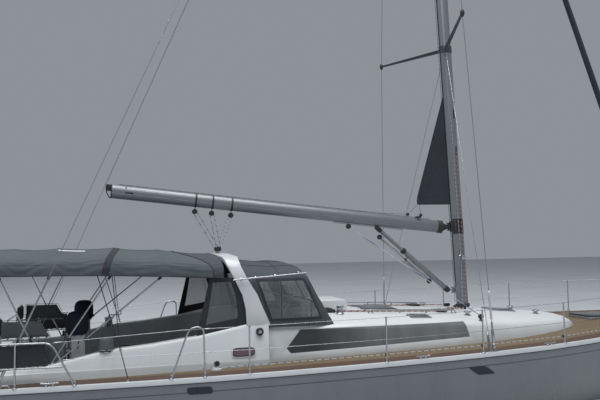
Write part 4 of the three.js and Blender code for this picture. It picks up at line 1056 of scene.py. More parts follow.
grabRails, feet = [], []
for side in bothSides:
    grabRails.append([(-3.6, side * 1.748, 2.6), (-3.5, side * 1.752, 2.612), (-2.54, side * 1.745, 2.675),
                      (-2.35, side * 1.735, 2.69)])
    for x, z, inner in ((-3.46, 2.614, 1.694), (-3.2, 2.63, 1.62), (-2.86, 2.654, 1.61),
                        (-2.44, 2.683, 1.575)):
        grabRails.append([(x, side * 1.747, z), (x, side * inner, z)])
        foot = turnedPiece([(24, 0), (24, 4), (14, 10), (11, 14)], 16)
        feet.append(aimed(foot, (0, side, 0), (x, side * inner, z)))
grabRails = tubePiece("grab_rails", grabRails, 0.0125, bend=0.03, resolution=4)
dress(join("grab_rail_pieces", [grabRails, *feet]), "steel")


# Side curtains aft of the arch: a clear pane in a dark border, with a zip

curtain = {
    "aftEdge": [(-4.188, 1.717), (-3.973, 2.647)],
    "foreEdge": [(-3.375, 1.87), (-3.388, 2.11), (-3.443, 2.35), (-3.563, 2.6), (-3.579, 2.64)],
    "y": 1.682,
    "belly": 0.016,
    "hem": (6, 33, 8, 44),    # cells of the grid that lie inside the border
}


def curtainAt(u, v, side, lift=0.0):
    start, end = (Vector(point) for point in curtain["aftEdge"])
    aft = start.lerp(end, v)
    rows = curtain["foreEdge"]
    z = rows[0][1] + (rows[-1][1] - rows[0][1]) * v
    a, b = next((a, b) for a, b in zip(rows, rows[1:]) if z <= b[1] + 1e-6)
    x, z = aft.lerp(Vector((a[0] + (b[0] - a[0]) * (z - a[1]) / (b[1] - a[1]), z)), u)
    belly = curtain["belly"] * sin(pi * u) * sin(pi * v)
    crease = 0.003 * noise.noise(Vector((x * 9, z * 5, 2.2)))
    return Vector((x, side * (curtain["y"] - 0.002 - belly + crease + lift), z))


for name, side in sides.items():
    sheet = gridPiece(f"curtain_{name}", 40, 48, lambda u, v: curtainAt(u, v, side))
    left, right, low, high = curtain["hem"]
    pick(sheet)
    for face in sheet.data.polygons:
        column, row = face.index % 40, face.index // 40
        face.select = left <= column < right and low <= row < high
    pane = partedOff(f"curtain_window_{name}", sheet)
    thicken(pane, 0.0015)
    thicken(sheet, 0.004)
    dress(smooth(pane, 60), "vinyl")
    dress(smooth(sheet, 60), "darkCloth", replaces=[f"side_curtain_{name}"])
    zipRuns = [[curtainAt(start + (end - start) * i / 24, 0.02 + i / 25, side, 0.003) for i in range(25)]
               for start, end in ((0.8, 0.62), (0.84, 0.67))]
    zipper = dress(tubePiece(f"curtain_zip_{name}", zipRuns, 0.003, resolution=1), "black")
print("Dodger and side curtains sewn")


# Along the hull: the rubbing line under the white band, portlights, chocks and cleats

hullTree = treeOf("hull")
hullTrim = {
    "lineBelow": 0.08,     # under the top of the rail
    "lineRadius": 0.0075,
    "portlights": [(-4.42, -4.02, 0.955, 1.06, 0.02), (0.27, 0.82, 0.925, 1.065, 0.2),
                   (3.35, 3.8, 0.985, 1.1, 0.03)],   # aft, forward, low, high, slope of the aft end
    "cleats": [-6.35, -0.55, 2.0, 6.35],
    "fairleads": [-6.95, 6.75],
    "inset": 0.03,         # of cleats and fairleads from the hull's side
}


def hullSide(x, z, side):
    hit = hullTree.ray_cast(Vector((x, side * 4, z)), Vector((0, -side, 0)))
    return abs(hit[0].y)


lines = []
for side in bothSides:
    lines.append([(x, side * (half + 0.002), z - hullTrim["lineBelow"]) for x, z, half in railRows[1:]])
dress(tubePiece("rubbing_line", lines, hullTrim["lineRadius"]), "rubber")

lights = []
for aft, fore, low, high, slope in hullTrim["portlights"]:
    for side in bothSides:
        def place(u, v):
            corner = (1 - min(u, 1 - u, 0.08) / 0.08) ** 2 * 0.03
            z = min(max(low + v * (high - low), low + corner), high - corner)
            x = aft + slope * (1 - (z - low) / (high - low)) + u * (fore - aft - slope)
            return Vector((x, side * (hullSide(x, z, side) + 0.003), z))
        pane = gridPiece("portlight", 24, 10, place)
        lights.append(outward(thicken(pane, 0.004)))
dress(smooth(join("hull_portlights", lights)), "portGlass")


def cleatPiece(name):
    # A horn cleat on two feet
    horn = tubePiece(name, [[(-0.125, 0, 0.05), (-0.09, 0, 0.046), (-0.04, 0, 0.042), (0.04, 0, 0.042),
                             (0.09, 0, 0.046), (0.125, 0, 0.05)]], 0.0125, bend=0.03, resolution=4)
    legs = [moved(turnedPiece([(26, 0), (24, 8), (14, 20), (13, 40)], 16, 0.001), (x, 0, 0))
            for x in (-0.045, 0.045)]
    return join(name, [horn, *legs])


cleat = cleatPiece("cleat")
cleats = []
for side in bothSides:
    for x in hullTrim["cleats"]:
        z, half = railAt(x)
        copy = twin(cleat, "cleat")
        copy.rotation_euler.z = side * atan2(railAt(x + 0.2)[1] - railAt(x - 0.2)[1], 0.4)
        copy.location = (x, side * (half - hullTrim["inset"]), z + 0.0005)
        cleats.append(settle(copy))
    for x in hullTrim["fairleads"]:
        z, half = railAt(x)
        y = side * (half - hullTrim["inset"])
        run = [(x - 0.07, y, z), (x - 0.05, y, z + 0.045), (x + 0.05, y, z + 0.045), (x + 0.07, y, z)]
        cleats.append(tubePiece("fairlead", [run], 0.009, bend=0.03, resolution=3))
pick(cleat)
bpy.ops.object.delete()
dress(join("cleats_and_fairleads", cleats), "steel")


# On the coachroof: hatches, handrails, mast blocks, an organiser, running lines, clutches, winches and vents

roofGear = {
    "hatches": [(-0.42, 0.0, 0.36, 0.46), (2.45, 0.0, 0.26, 0.26), (0.05, 1.09, 0.2, 0.13),
                (0.05, -1.09, 0.2, 0.13)],   # x, y, half length, half width
    "handrail": [(-0.78, 0.82), (-0.22, 0.82), (0.33, 0.82), (0.88, 0.82)],
    "linesOut": [0.5, 0.56, 0.62, 0.68],     # from the centreline, beside the hood
    "mastBlocks": (1.3, 0.2),
    "organiser": (0.62, 0.84),                # aft and forward end
    "clutch": (-1.7, -1.48),
    "winch": (-1.45, 0.86),
}


hatchFrames, hatchPanes = [], []
for x, y, halfLong, halfWide in roofGear["hatches"]:
    def hatchPlace(u, v, lift, grow):
        px = x + (2 * u - 1) * (halfLong + grow)
        py = y + (2 * v - 1) * (halfWide + grow)
        return Vector((px, py, topAt(px, py) + lift))
    frameSheet = gridPiece("hatch_frame", 6, 6, lambda u, v: hatchPlace(u, v, 0.022, 0.0))
    thicken(frameSheet, 0.026, -1)
    modify(frameSheet, "BEVEL", width=0.012, segments=3, limit_method="ANGLE", angle_limit=0.6)
    hatchFrames.append(smooth(frameSheet))
    paneSheet = gridPiece("hatch_pane", 6, 6, lambda u, v: hatchPlace(u, v, 0.03, -0.035))
    thicken(paneSheet, 0.01, -1)
    modify(paneSheet, "BEVEL", width=0.004, segments=2, limit_method="ANGLE", angle_limit=0.6)
    hatchPanes.append(smooth(paneSheet))
    for hingeSide in (-1, 1):
        hingeY, z = y + hingeSide * halfWide * 0.55, topAt(x - halfLong, y)
        hinge = boxPiece((x - halfLong - 0.028, hingeY - 0.03, z),
                         (x - halfLong + 0.02, hingeY + 0.03, z + 0.028))
        hatchFrames.append(hinge)
dress(join("roof_hatch_frames", hatchFrames), "dullSteel")
dress(join("roof_hatch_panes", hatchPanes), "smoked")

rails, railFeet = [], []
for side in bothSides:
    run = []
    for x, y in roofGear["handrail"]:
        z = topAt(x, side * y)
        run.append((x, side * y, z + 0.062))
        foot = turnedPiece([(26, 0), (26, 5), (12, 12), (10, 62)], 16, 0.001)
        railFeet.append(moved(foot, (x, side * y, z - 0.001)))
    (x0, y0, z0), (x1, y1, z1) = run[0], run[-1]
    rails.append([(x0 - 0.09, y0, z0 - 0.062), (x0 - 0.05, y0, z0), *run,
                  (x1 + 0.05, y1, z1), (x1 + 0.09, y1, z1 - 0.066)])
handrails = tubePiece("roof_handrails", rails, 0.0125, bend=0.03, resolution=4)
dress(join("roof_handrails", [handrails, *railFeet]), "steel")


def blockPiece(size):
    # A rope block: two cheeks, a grooved wheel and a strap; its radius is in millimetres
    wheel = turnedPiece([(size, -size * 0.3), (size * 0.82, 0), (size, size * 0.3)], 24)
    inner = size * 0.34
    cheek = turnedPiece([(size * 0.95, inner), (size * 1.1, inner + 2), (size * 1.1, inner + size * 0.12),
                         (size * 0.5, inner + size * 0.22)], 24, 0.001)
    other = twin(cheek, "cheek")
    other.scale.z = -1
    outward(settle(other))
    size /= 1000
    strap = [(x * size, 0, z * size)
             for x, z in ((0, -0.5), (0.8, -0.5), (1.35, -0.2), (1.35, 0.2), (0.8, 0.5), (0, 0.5))]
    strap = tubePiece("strap", [strap], size * 0.13, bend=size * 0.3)
    return join("block", [wheel, cheek, other, strap])


def setBlock(pattern, at, pull):
    # The block's strap points along the pull, and its wheel turns athwart the boat
    copy = twin(pattern, "block")
    pullLine = Vector(pull).normalized()
    axle = Vector((0, 1, 0))
    axis = (axle - pullLine * axle.dot(pullLine)).normalized()
    copy.matrix_world = Matrix((pullLine, axis.cross(pullLine), axis)).transposed().to_4x4()
    copy.location = Vector(at)
    return settle(copy)


smallBlock, largeBlock = blockPiece(30), blockPiece(45)

ropeRuns = {"whiteRope": [], "redRope": [], "greyRope": []}
deckBlocks = []
order = ["redRope", "whiteRope", "greyRope", "redRope"]
for side in bothSides:
    blockX, blockY = roofGear["mastBlocks"]
    for i, out in enumerate(roofGear["linesOut"]):
        near = Vector((blockX + 0.05 * i, side * (blockY + 0.045 * i), 0))
        near.z = topAt(near.x, near.y) + 0.05
        turnPoint = Vector((0.8 - 0.055 * i, side * (out + 0.02), 0))
        turnPoint.z = topAt(turnPoint.x, turnPoint.y) + 0.03
        run = [near]
        for k in range(1, 7):
            between = near.lerp(turnPoint, k / 6)
            run.append(Vector((between.x, between.y, max(between.z, topAt(between.x, between.y) + 0.012))))
        for k in range(1, 22):
            x = turnPoint.x + (-1.8 - turnPoint.x) * k / 21
            run.append(Vector((x, side * out, topAt(x, side * out) + 0.012)))
        ropeRuns[order[i] if side < 0 else order[-1 - i]].append(run)
        deckBlocks.append(setBlock(smallBlock, near, (0.3, 0, -1)))
    middle = side * (roofGear["linesOut"][0] + roofGear["linesOut"][-1]) / 2
    z = topAt(0.72, middle)
    aft, fore = roofGear["organiser"]
    deckBlocks.append(boxPiece((aft, middle - 0.15, z + 0.002), (fore, middle + 0.15, z + 0.04), 0.012, 3))
    aft, fore = roofGear["clutch"]
    for y in (side * out for out in roofGear["linesOut"]):
        z = topAt(-1.62, y)
        deckBlocks.append(boxPiece((aft, y - 0.026, z + 0.001), (fore, y + 0.026, z + 0.058), 0.01, 3))
        deckBlocks.append(boxPiece((aft + 0.01, y - 0.018, z + 0.06), (fore - 0.06, y + 0.018, z + 0.074),
                                   0.005))
dress(join("deck_blocks_and_clutches", deckBlocks), "black")


def winchPiece(name, size=1.0):
    # Drum, skirt and self-tailing jaws from their outline
    outline = [(90, 0), (92, 12), (84, 20), (72, 34), (66, 60), (64, 110),
               (70, 128), (80, 136), (80, 142), (62, 146), (62, 152), (81, 156),
               (82, 166), (60, 174), (22, 178), (18, 172)]
    drum = turnedPiece([(r * size, h * size) for r, h in outline], 36)
    ribs = [[(cos(angle) * 0.066 * size, sin(angle) * 0.066 * size, h * size) for h in (0.05, 0.12)]
            for angle in (k * tau / 18 for k in range(18))]
    ribs = tubePiece("ribs", ribs, 0.003 * size, resolution=1)
    arm = [(x * size, 0, z * size) for x, z in ((0.055, 0.176), (0.088, 0.17), (0.094, 0.14))]
    arm = tubePiece("arm", [arm], 0.006 * size, bend=0.01)
    return join(name, [drum, ribs, arm])


winches = []
for side in bothSides:
    x, y = roofGear["winch"][0], side * roofGear["winch"][1]
    winches.append(moved(winchPiece("cabin_winch", 0.85), (x, y, topAt(x, y) - 0.001)))
dress(join("cabin_winches", winches), "steel")

vents = []
ventShape = [(62, 0), (62, 10), (40, 18), (36, 45), (70, 56), (74, 68), (50, 82),
             (16, 88)]
for x, y in ((1.15, 0.95), (-2.35, 1.2), (3.05, 0.45)):
    for side in bothSides:
        vents.append(moved(turnedPiece(ventShape, 28, 0.001), (x, side * y, topAt(x, side * y) - 0.002)))
dress(join("deck_vents", vents), "steel")
print("Hull and coachroof fitted out")


# Rigging: the boom's slides and caps, mainsheet, vang tackle, outhaul, and what is on the mast and stays

rig = {
    "foot": (1.6, 0, 1.8),
    "rake": 2.5,
    "boomStart": -0.37,
    "boomHeight": 1.705,
    "boomRise": 8.4,
    "boomHalf": 0.125,
    "boomLength": 6.73,
    "sheetAt": [4.49, 4.86, 5.18],      # along the boom from its forward end
    "archTop": (-3.588, 3.025),
    "vangAt": 1.5,
    "holdDownAt": 2.08,
    "mastLength": 17.35,
    "capPlate": (0.82, 2.35, 1.43),       # where the shrouds' wires begin, starboard side positive
    "lowPlate": (0.758, 2.325, 1.42),
    "backstayFoot": (-7.05, 2.13),
}
rake = radians(rig["rake"])
rise = radians(rig["boomRise"])


def onMast(x, y, z):
    # A point in the mast's own upright frame
    return Vector(rig["foot"]) + Vector((x * cos(rake) - z * sin(rake), y, x * sin(rake) + z * cos(rake)))


def onBoom(distance, y=0.0, above=0.0):
    return onMast(rig["boomStart"] - distance * cos(rise) + above * sin(rise), y,
                  rig["boomHeight"] + distance * sin(rise) + above * cos(rise))


boomLine = (onBoom(1) - onBoom(0)).normalized()
boomUp = (onBoom(1, 0, 1) - onBoom(1)).normalized()
mastLine = (onMast(0, 0, 1) - onMast(0, 0, 0)).normalized()


def bandPiece(at, along, halfLong, halfWide, halfHigh, thickness, points=36):
    # A sleeve round an oval spar
    side = Vector((0, 1, 0))
    high = Vector(along).normalized().cross(side)
    ring = [at + side * cos(a) * halfWide + high * sin(a) * halfHigh
            for a in (tau * k / points for k in range(points))]

    def place(u, v):
        k = round(u * points) % points
        return ring[k] + Vector(along).normalized() * (v - 0.5) * 2 * halfLong
    band = outward(gridPiece("band", points, 2, place))
    thicken(band, thickness, 1)
    modify(band, "BEVEL", width=thickness * 0.4, segments=2, limit_method="ANGLE", angle_limit=0.7)
    return smooth(outward(band), 40)


def boomBox(aft, fore, low, high, y, half, bevel):
    # A block squared up with the boom; its ends are distances along the boom
    piece = boxPiece((fore, y - half, low), (aft, y + half, high), bevel)
    piece.matrix_world = Matrix((boomLine, Vector((0, -1, 0)), boomUp)).transposed().to_4x4()
    piece.location = onBoom(0)
    return settle(piece)


boomEnd = rig["boomLength"]
boomParts = [boomBox(boomEnd + 0.1, boomEnd - 0.01, 0.005, 0.122, 0, 0.066, 0.02),
             bandPiece(onBoom(boomEnd - 0.006), boomLine, 0.008, 0.0805, 0.1255, 0.003),
             bandPiece(onBoom(0.055), boomLine, 0.055, 0.081, 0.126, 0.007),
             tubePiece("boom_end_bail", [[onBoom(boomEnd + 0.085, 0, 0.03), onBoom(boomEnd + 0.075, 0, -0.03),
                                          onBoom(boomEnd + 0.02, 0, -0.112),
                                          onBoom(boomEnd - 0.01, 0, -0.115)]], 0.01, bend=0.03, resolution=3),
             boomBox(6.48, 6.46, 0.058, 0.106, 0.058, 0.006, 0.002),
             boomBox(6.48, 6.335, -0.014, 0.014, 0.0765, 0.005, 0.002)]
for distance in rig["sheetAt"]:
    boomParts.append(bandPiece(onBoom(distance), boomLine, 0.017, 0.0815, 0.1265, 0.005))
dress(join("boom_fittings", boomParts), "black", "boom_assembly")

def trackOn(start, end, width, high, above):
    # A T-shaped track let into a spar
    def place(u, v):
        return onBoom(start + (end - start) * u, (v - 0.5) * width, above + high)
    return smooth(thicken(gridPiece("track", 10, 2, place), high, -1))


boomTracks = [trackOn(0.3, boomEnd - 0.15, 0.03, 0.012, rig["boomHalf"] - 0.002),
              trackOn(0.9, 2.4, 0.036, -0.012, -rig["boomHalf"] + 0.002)]
lip = tubePiece("boom_ledges", [[onBoom(0.24, side * 0.079, -0.03),
                                 onBoom(boomEnd - 0.03, side * 0.079, -0.03)] for side in bothSides], 0.0045)
dress(join("boom_tracks", [*boomTracks, lip]), "boom", "boom_assembly")

eyes = []
for distance, y, above in [(6.2, 0.08, 0.0), (5.6, -0.08, 0.0), (3.0, -0.08, -0.02), (3.0, 0.08, -0.02),
                           (1.4, -0.08, 0.02), (1.4, 0.08, 0.02)]:
    at, out = onBoom(distance, y, above), Vector((0, copysign(0.026, y), 0))
    run = [at + boomLine * 0.022, at + boomLine * 0.018 + out, at - boomLine * 0.018 + out,
           at - boomLine * 0.022]
    eyes.append(tubePiece("eye", [run], 0.004, bend=0.015))
dress(join("boom_eyes", eyes), "steel", "boom_assembly")

# Mainsheet: strops on the boom, blocks on the arch, and four falls between them
sheetBlocks, archBlocks, falls = [], [], []
archX, archZ = rig["archTop"]
archPoints = [Vector((archX + dx, dy, archZ + 0.072)) for dx, dy in ((0.0, 0.1), (0.02, 0.0), (0.0, -0.1))]
for distance, archPoint in zip(reversed(rig["sheetAt"]), archPoints):
    high = onBoom(distance, 0, -rig["boomHalf"] - 0.085)
    sheetBlocks.append(setBlock(largeBlock, high, boomUp))
    archBlocks.append(setBlock(largeBlock, archPoint, (0, 0, -1)))
    for shift in (-0.04, 0.04):
        falls.append([high + Vector((shift, 0, 0)), archPoint + Vector((shift, 0, 0.01))])
sheetLines = [straight(start, end, 24) for start, end in falls]
sheet = tubePiece("mainsheet_falls", sheetLines, 0.0062)
paint(sheet, "whiteRope")
onBoom(rig["sheetAt"][1]).z - 0.15
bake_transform(sheet)
dress(join("mainsheet_boom_blocks", sheetBlocks), "black", "boom_assembly")
slings = [[onBoom(distance, 0, -0.127), onBoom(distance, 0, -0.175)] for distance in rig["sheetAt"]]
slings = tubePiece("mainsheet_slings", slings, 0.007)
dress(slings, "greyRope", "boom_assembly")
bailRun = [(0, 0.028, -0.084), (0, 0.026, -0.04), (0, -0.026, -0.04), (0, -0.028, -0.084)]
bails = [tubePiece("bail", [[p + Vector(at) for at in bailRun]], 0.006, bend=0.02, resolution=3)
         for p in archPoints]
plates = [boxPiece((p.x - 0.045, p.y - 0.042, archZ - 0.0088), (p.x + 0.045, p.y + 0.042, archZ - 0.001),
                   0.003) for p in archPoints]
dress(join("mainsheet_arch_bails", [*bails, *plates]), "steel")
dress(join("mainsheet_arch_blocks", archBlocks), "black")

# Hold-down line from a block under the boom to one on the coachroof's edge
lineBlocks = [setBlock(largeBlock, onBoom(rig["holdDownAt"], 0, -0.19), boomUp)]
edgePoint = Vector((1.2, -1.35, topAt(1.2, -1.35) + 0.075))
slings = tubePiece("line_sling", [[onBoom(rig["holdDownAt"], 0, -0.127),
                                   onBoom(rig["holdDownAt"], 0, -0.15)]], 0.01)
dress(join("line_boom_block", [*lineBlocks, slings]), "black", "boom_assembly")
edgeBase = turnedPiece([(48, 0), (46, 6), (26, 14), (20, 30)], 24, 0.001)
edgeBase = moved(edgeBase, edgePoint - Vector((0, 0, 0.076)))
edgeBlock = setBlock(largeBlock, edgePoint, (0, 0, -1))
dress(join("line_roof_block", [edgeBase, edgeBlock]), "black")
lineStart, lineEnd = edgePoint + Vector((-0.02, 0, 0.02)), onBoom(rig["holdDownAt"], 0, -0.2)
holdDown = tubePiece("hold_down_line", [straight(lineStart, lineEnd, 24)], 0.0075)
paint(holdDown, "whiteRope")
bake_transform(holdDown)

# Vang: a thick tube sliding over a thinner one, a tackle below it
vangHigh = onBoom(rig["vangAt"], 0, -rig["boomHalf"] - 0.008)
vangLow = onMast(-0.32, 0, 0.375)
vangRun = vangHigh - vangLow
collar = aimed(turnedPiece([(46, 0), (62, 6), (62, 75), (46, 85)], 28, 0.002), vangRun,
               vangLow + vangRun * 0.6)
foot = aimed(turnedPiece([(30, -30), (60, 0), (62, 90), (58, 100)], 28, 0.002), vangRun, vangLow)
head = aimed(turnedPiece([(42, -160), (48, -150), (48, -50), (34, 0)], 28, 0.002), vangRun, vangHigh)
under = vangRun.normalized().cross(Vector((0, 1, 0))).normalized()
if under.z > 0:
    under = -under
vangBlocks = [setBlock(largeBlock, vangHigh - vangRun * 0.1 + under * 0.11, -under),
              setBlock(largeBlock, vangLow + vangRun * 0.22 + under * 0.12, under * -1),
              setBlock(smallBlock, vangLow + vangRun * 0.55 + under * 0.1, -under)]
dress(join("vang_fittings", [collar, foot, head, *vangBlocks]), "black", "boom_assembly")
tackle = []
for y, off in ((-0.03, 0.1), (0.0, 0.13), (0.03, 0.1)):
    away = under * off + Vector((0, y, 0))
    tackle.append([vangHigh - vangRun * 0.12 + away, vangLow + vangRun * 0.24 + away])
tackle.append([vangLow + vangRun * 0.24 + under * 0.13, vangLow + vangRun * 0.04 + under * 0.07])
dress(tubePiece("vang_tackle", tackle[:2], 0.006), "whiteRope", "boom_assembly")
dress(tubePiece("vang_purchase", tackle[2:], 0.006), "redRope", "boom_assembly")

# The corner of the mainsail that the mast leaves out: cloth with its seams and leech tape
sailCorner = {
    "luff": -0.134,
    "low": 2.172,
    "high": 4.495,
    "clew": (-0.905, 2.197, 2.258),   # from the mast, low and high edge
    "belly": 0.01,
}


def sailAt(u, v, lift=0.0):
    out, low, high = sailCorner["clew"]
    luffX, foot, head = (sailCorner[key] for key in ("luff", "low", "high"))
    luff = Vector((luffX, foot + v * (head - foot)))
    leech = Vector((out + (luffX - 0.004 - out) * max(v - 0.03, 0) / 0.97, high + v * (head - high)))
    if v < 0.03:
        leech.y = low + (high - low) * v / 0.03
    x, z = luff.lerp(leech, u)
    hollow = sailCorner["belly"] * sin(pi * u) * (1 - v) ** 0.5
    crease = 0.0022 * noise.noise(Vector((x * 6, z * 3, 5.1)))
    return onMast(x, hollow + crease + lift, z)


sailCloth = thicken(gridPiece("mainsail_cloth", 26, 70, sailAt), 0.0018)
dress(smooth(sailCloth, 60), "sail", "boom_assembly", slots["mainsail_clew"], ["mainsail_clew"])
sailSeams = []
for lift in (-0.0018, 0.0018):
    for height in (0.1, 0.24, 0.42, 0.64):
        sailSeams.append([sailAt(1 - k / 14 * 0.985, 0.02 + (height - 0.02) * k / 14, lift)
                          for k in range(15)])
    sailSeams.append([sailAt(0.94, 0.02 + k / 30 * 0.95, lift) for k in range(31)])
    sailSeams.append([sailAt(0.02 + k / 12 * 0.96, 0.012, lift) for k in range(13)])
sailSeams = tubePiece("mainsail_seams", sailSeams, 0.0016, resolution=1)
dress(sailSeams, "darkCloth", "boom_assembly", slots["mainsail_clew"])

# The clew's corner: ring, blocks and the outhaul to its car
clewRing = onMast(-0.855, 0, 2.235)
ring = aimed(turnedPiece([(26, -6), (32, -4), (32, 4), (26, 6)], 24, 0.001), (0, 1, 0), clewRing)
carAt = onBoom(0.56, 0, 0.15)
car = boxPiece((-0.09, -0.03, -0.018), (0.09, 0.03, 0.022), 0.01, 3)
car = aimed(car, boomUp, carAt)
outhaulBlock = setBlock(smallBlock, onBoom(0.8, 0, 0.185), -boomLine)
leadBlock = setBlock(smallBlock, onBoom(0.5, 0, 0.2), boomUp * -1)
dress(join("outhaul_blocks", [ring, car, outhaulBlock, leadBlock]), "black", "boom_assembly")
outhaul = [[clewRing, onBoom(0.8, 0, 0.19), onBoom(1.4, 0, 0.15), onBoom(boomEnd - 0.1, 0, 0.145)],
           [clewRing, onBoom(0.5, 0, 0.2)]]
dress(tubePiece("outhaul", outhaul, 0.0055), "greyRope", "boom_assembly")


# Mast: luff slot, collar, winches, lamp, halyard exits and what is at its head

mastLength = rig["mastLength"]
luff = thicken(gridPiece("luff_slot", 12, 1, lambda u, v: onMast(
    -0.1315, (v - 0.5) * 0.03, 0.55 + (mastLength - 0.05 - 0.55) * u)), 0.005)
dress(smooth(luff), "black")
lips = [[onMast(-0.128, y, 0.5), onMast(-0.128, y, mastLength - 0.05)] for y in (-0.024, 0.024)]
ledges = [[onMast(-0.075, y, 0.05), onMast(-0.075, y, mastLength - 0.1)] for y in (-0.064, 0.064)]
lips, ledges = tubePiece("luff_lips", lips, 0.006), tubePiece("mast_ledges", ledges, 0.004)
dress(join("mast_lips", [lips, ledges]), "mast")

mastParts = [bandPiece(onMast(0, 0, 0.035), mastLine, 0.035, 0.079, 0.131, 0.028),
             bandPiece(onMast(0, 0, 1.705), mastLine, 0.16, 0.079, 0.131, 0.003)]
lamp = turnedPiece([(30, 0), (45, 10), (45, 60), (32, 85), (10, 92)], 24, 0.002)
mastParts.append(aimed(lamp, (0.3, 0, -1), onMast(0.165, 0, 7.6)))
lampArm = boxPiece((-0.02, -0.018, -0.03), (0.05, 0.018, 0.03), 0.006)
mastParts.append(moved(lampArm, onMast(0.14, 0, 7.6)))
for height, side in ((2.9, 1), (3.3, -1), (3.7, 1), (4.1, -1)):
    exitPlate = boxPiece((-0.016, -0.003, -0.1), (0.016, 0.003, 0.1), 0.003)
    mastParts.append(moved(exitPlate, onMast(0.055, side * 0.0745, height)))
anemometer = tubePiece("wand", [[onMast(0.17, 0, mastLength + 0.05), onMast(0.6, 0, mastLength + 0.06)]],
                       0.007)
cups = [moved(turnedPiece([(8, 0), (28, 10), (30, 34), (6, 40)], 16), onMast(0.6, 0, mastLength + 0.045))]
for y in (-0.055, 0.055):
    wheel = turnedPiece([(60, -10), (50, 0), (60, 10)], 28)
    mastParts.append(aimed(wheel, (0, 1, 0), onMast(-0.27, y * 0.55, mastLength - 0.04)))
dress(join("mast_fittings", [*mastParts, anemometer, *cups]), "black")

mastWinches = []
for side in bothSides:
    drum = winchPiece("mast_winch", 0.62)
    mastWinches.append(aimed(drum, (0, side, 0), onMast(0.0, side * 0.076, 1.05)))
dress(join("mast_winches", mastWinches), "steel")

halyards = {"whiteRope": [], "redRope": [], "greyRope": []}
for name, x, y, top in (("whiteRope", 0.02, 0.087, 3.7), ("redRope", 0.05, -0.086, 3.3),
                        ("greyRope", -0.05, 0.084, 2.9), ("whiteRope", -0.03, -0.087, 4.1)):
    halyards[name].append([onMast(x, y, top), onMast(x + 0.01, y * 1.1, 0.9), onMast(x - 0.05, y * 1.7, 0.1)])
halyards["greyRope"].append([onMast(-0.15, 0.03, 0.28), onMast(-0.158, 0.03, 12.0)])

# Topping lift from the masthead to the boom's end
lift = [onMast(-0.29, 0.0, mastLength - 0.06), onBoom(boomEnd + 0.095, 0, 0.125)]
liftLine = tubePiece("topping_lift", [straight(*lift, 30)], 0.0035, resolution=1)
paint(liftLine, "greyRope")
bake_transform(liftLine)

# Turnbuckles, boots and covers on the shrouds and backstays
stayParts, boots, covers = [], [], []
coverShape = [(12, 0), (21, 10), (21, 420), (24, 425), (24, 475), (10, 500)]
bootShape = [(12, -75), (34, -45), (42, 0), (34, 45), (12, 75)]


def turnbuckle(at, along, size=1.0):
    along = Vector(along).normalized()
    body = turnedPiece([(10, 0), (18, 10), (18, 45), (11, 55), (11, 75), (17, 85),
                                      (17, 200), (11, 210), (10, 290), (6, 300)], 18, 0.001)
    body.scale = (size, size, size)
    settle(body)
    return aimed(body, along, at)


tips = {}
for name, side in sides.items():
    tipLow = onMast(-0.674, side * 1.88, 5.63)
    tipHigh = onMast(-0.484, side * 1.36, 10.99)
    tips[name] = (tipLow, tipHigh)
    plateTop, lowTop = onSide(rig["capPlate"], side), onSide(rig["lowPlate"], side)
    stayParts.append(turnbuckle(plateTop - (tipLow - plateTop).normalized() * 0.09, tipLow - plateTop, 1.55))
    stayParts.append(turnbuckle(lowTop - Vector((0, 0, 0.08)), onMast(-0.02, side * 0.06, 5.36) - lowTop,
                                1.3))
    up = (tipLow - plateTop).normalized()
    covers.append(aimed(turnedPiece(coverShape, 20, 0.001), up, plateTop + up * 0.4))
    for tip in (tipLow, tipHigh):
        boots.append(moved(turnedPiece(bootShape, 20), tip))
    footX, footY = rig["backstayFoot"]
    foot = Vector((footX, side * footY, railAt(footX)[0] + 0.045))
    stayParts.append(turnbuckle(foot, onMast(-0.285, side * 0.028, mastLength) - foot, 1.35))
dress(join("turnbuckles", stayParts), "steel")
dress(join("spreader_boots", boots), "black")
dress(join("shroud_covers", covers), "whitePlastic")

# The furler's drum with its line led aft along the starboard rail
stayFoot, stayHead = Vector((7.04, 0, 1.69)), onMast(0.11, 0, 16.45)
stayLine = (stayHead - stayFoot).normalized()
drumParts = [aimed(turnedPiece(outline, 36, 0.001), stayLine, stayFoot) for outline in (
    [(60, 235), (98, 240), (100, 252), (62, 262)],
    [(62, 395), (100, 402), (98, 414), (50, 420)])]
turnTo = stayLine.to_track_quat("Z", "Y")
for angle in (k * tau / 6 for k in range(6)):
    bar = [stayFoot + turnTo @ Vector((cos(angle) * 0.092, sin(angle) * 0.092, z)) for z in (0.25, 0.405)]
    drumParts.append(tubePiece("bar", [bar], 0.005))
dress(join("furler_cage", drumParts), "steel")
furlingX = [6.9, 6.3, 5.35, 4.0, 2.36, 0.6, -1.2, -3.46, -4.2]
line = [stayFoot + stayLine * 0.31 + Vector((0, -0.1, 0))]
for x in furlingX[1:]:
    z, half = railAt(x)
    line.append(Vector((x, -(half - 0.075), z + 0.115)))
ropeRuns["whiteRope"].append(line)
guides = []
for x in furlingX[2:8]:
    z, half = railAt(x)
    guide = turnedPiece([(18, -10), (24, -6), (24, 6), (18, 10)], 18, 0.001)
    guides.append(aimed(guide, (1, 0, 0), (x, -(half - 0.07), z + 0.115)))
dress(join("furling_line_guides", guides), "black")

# The running lines, the furling line and the halyards, one piece for each rope colour
for name in ropeRuns:
    ropeRuns[name] += halyards[name]
    made = tubePiece(name + "_lines", ropeRuns[name], 0.0058, bend=0.02)
    dress(made, name)
pick(smallBlock, largeBlock)
bpy.ops.object.delete()
print("Rigging set up")


# Rails: pushpits, pulpit, stanchions and wires, with the gate hoops and the laced weather cloths

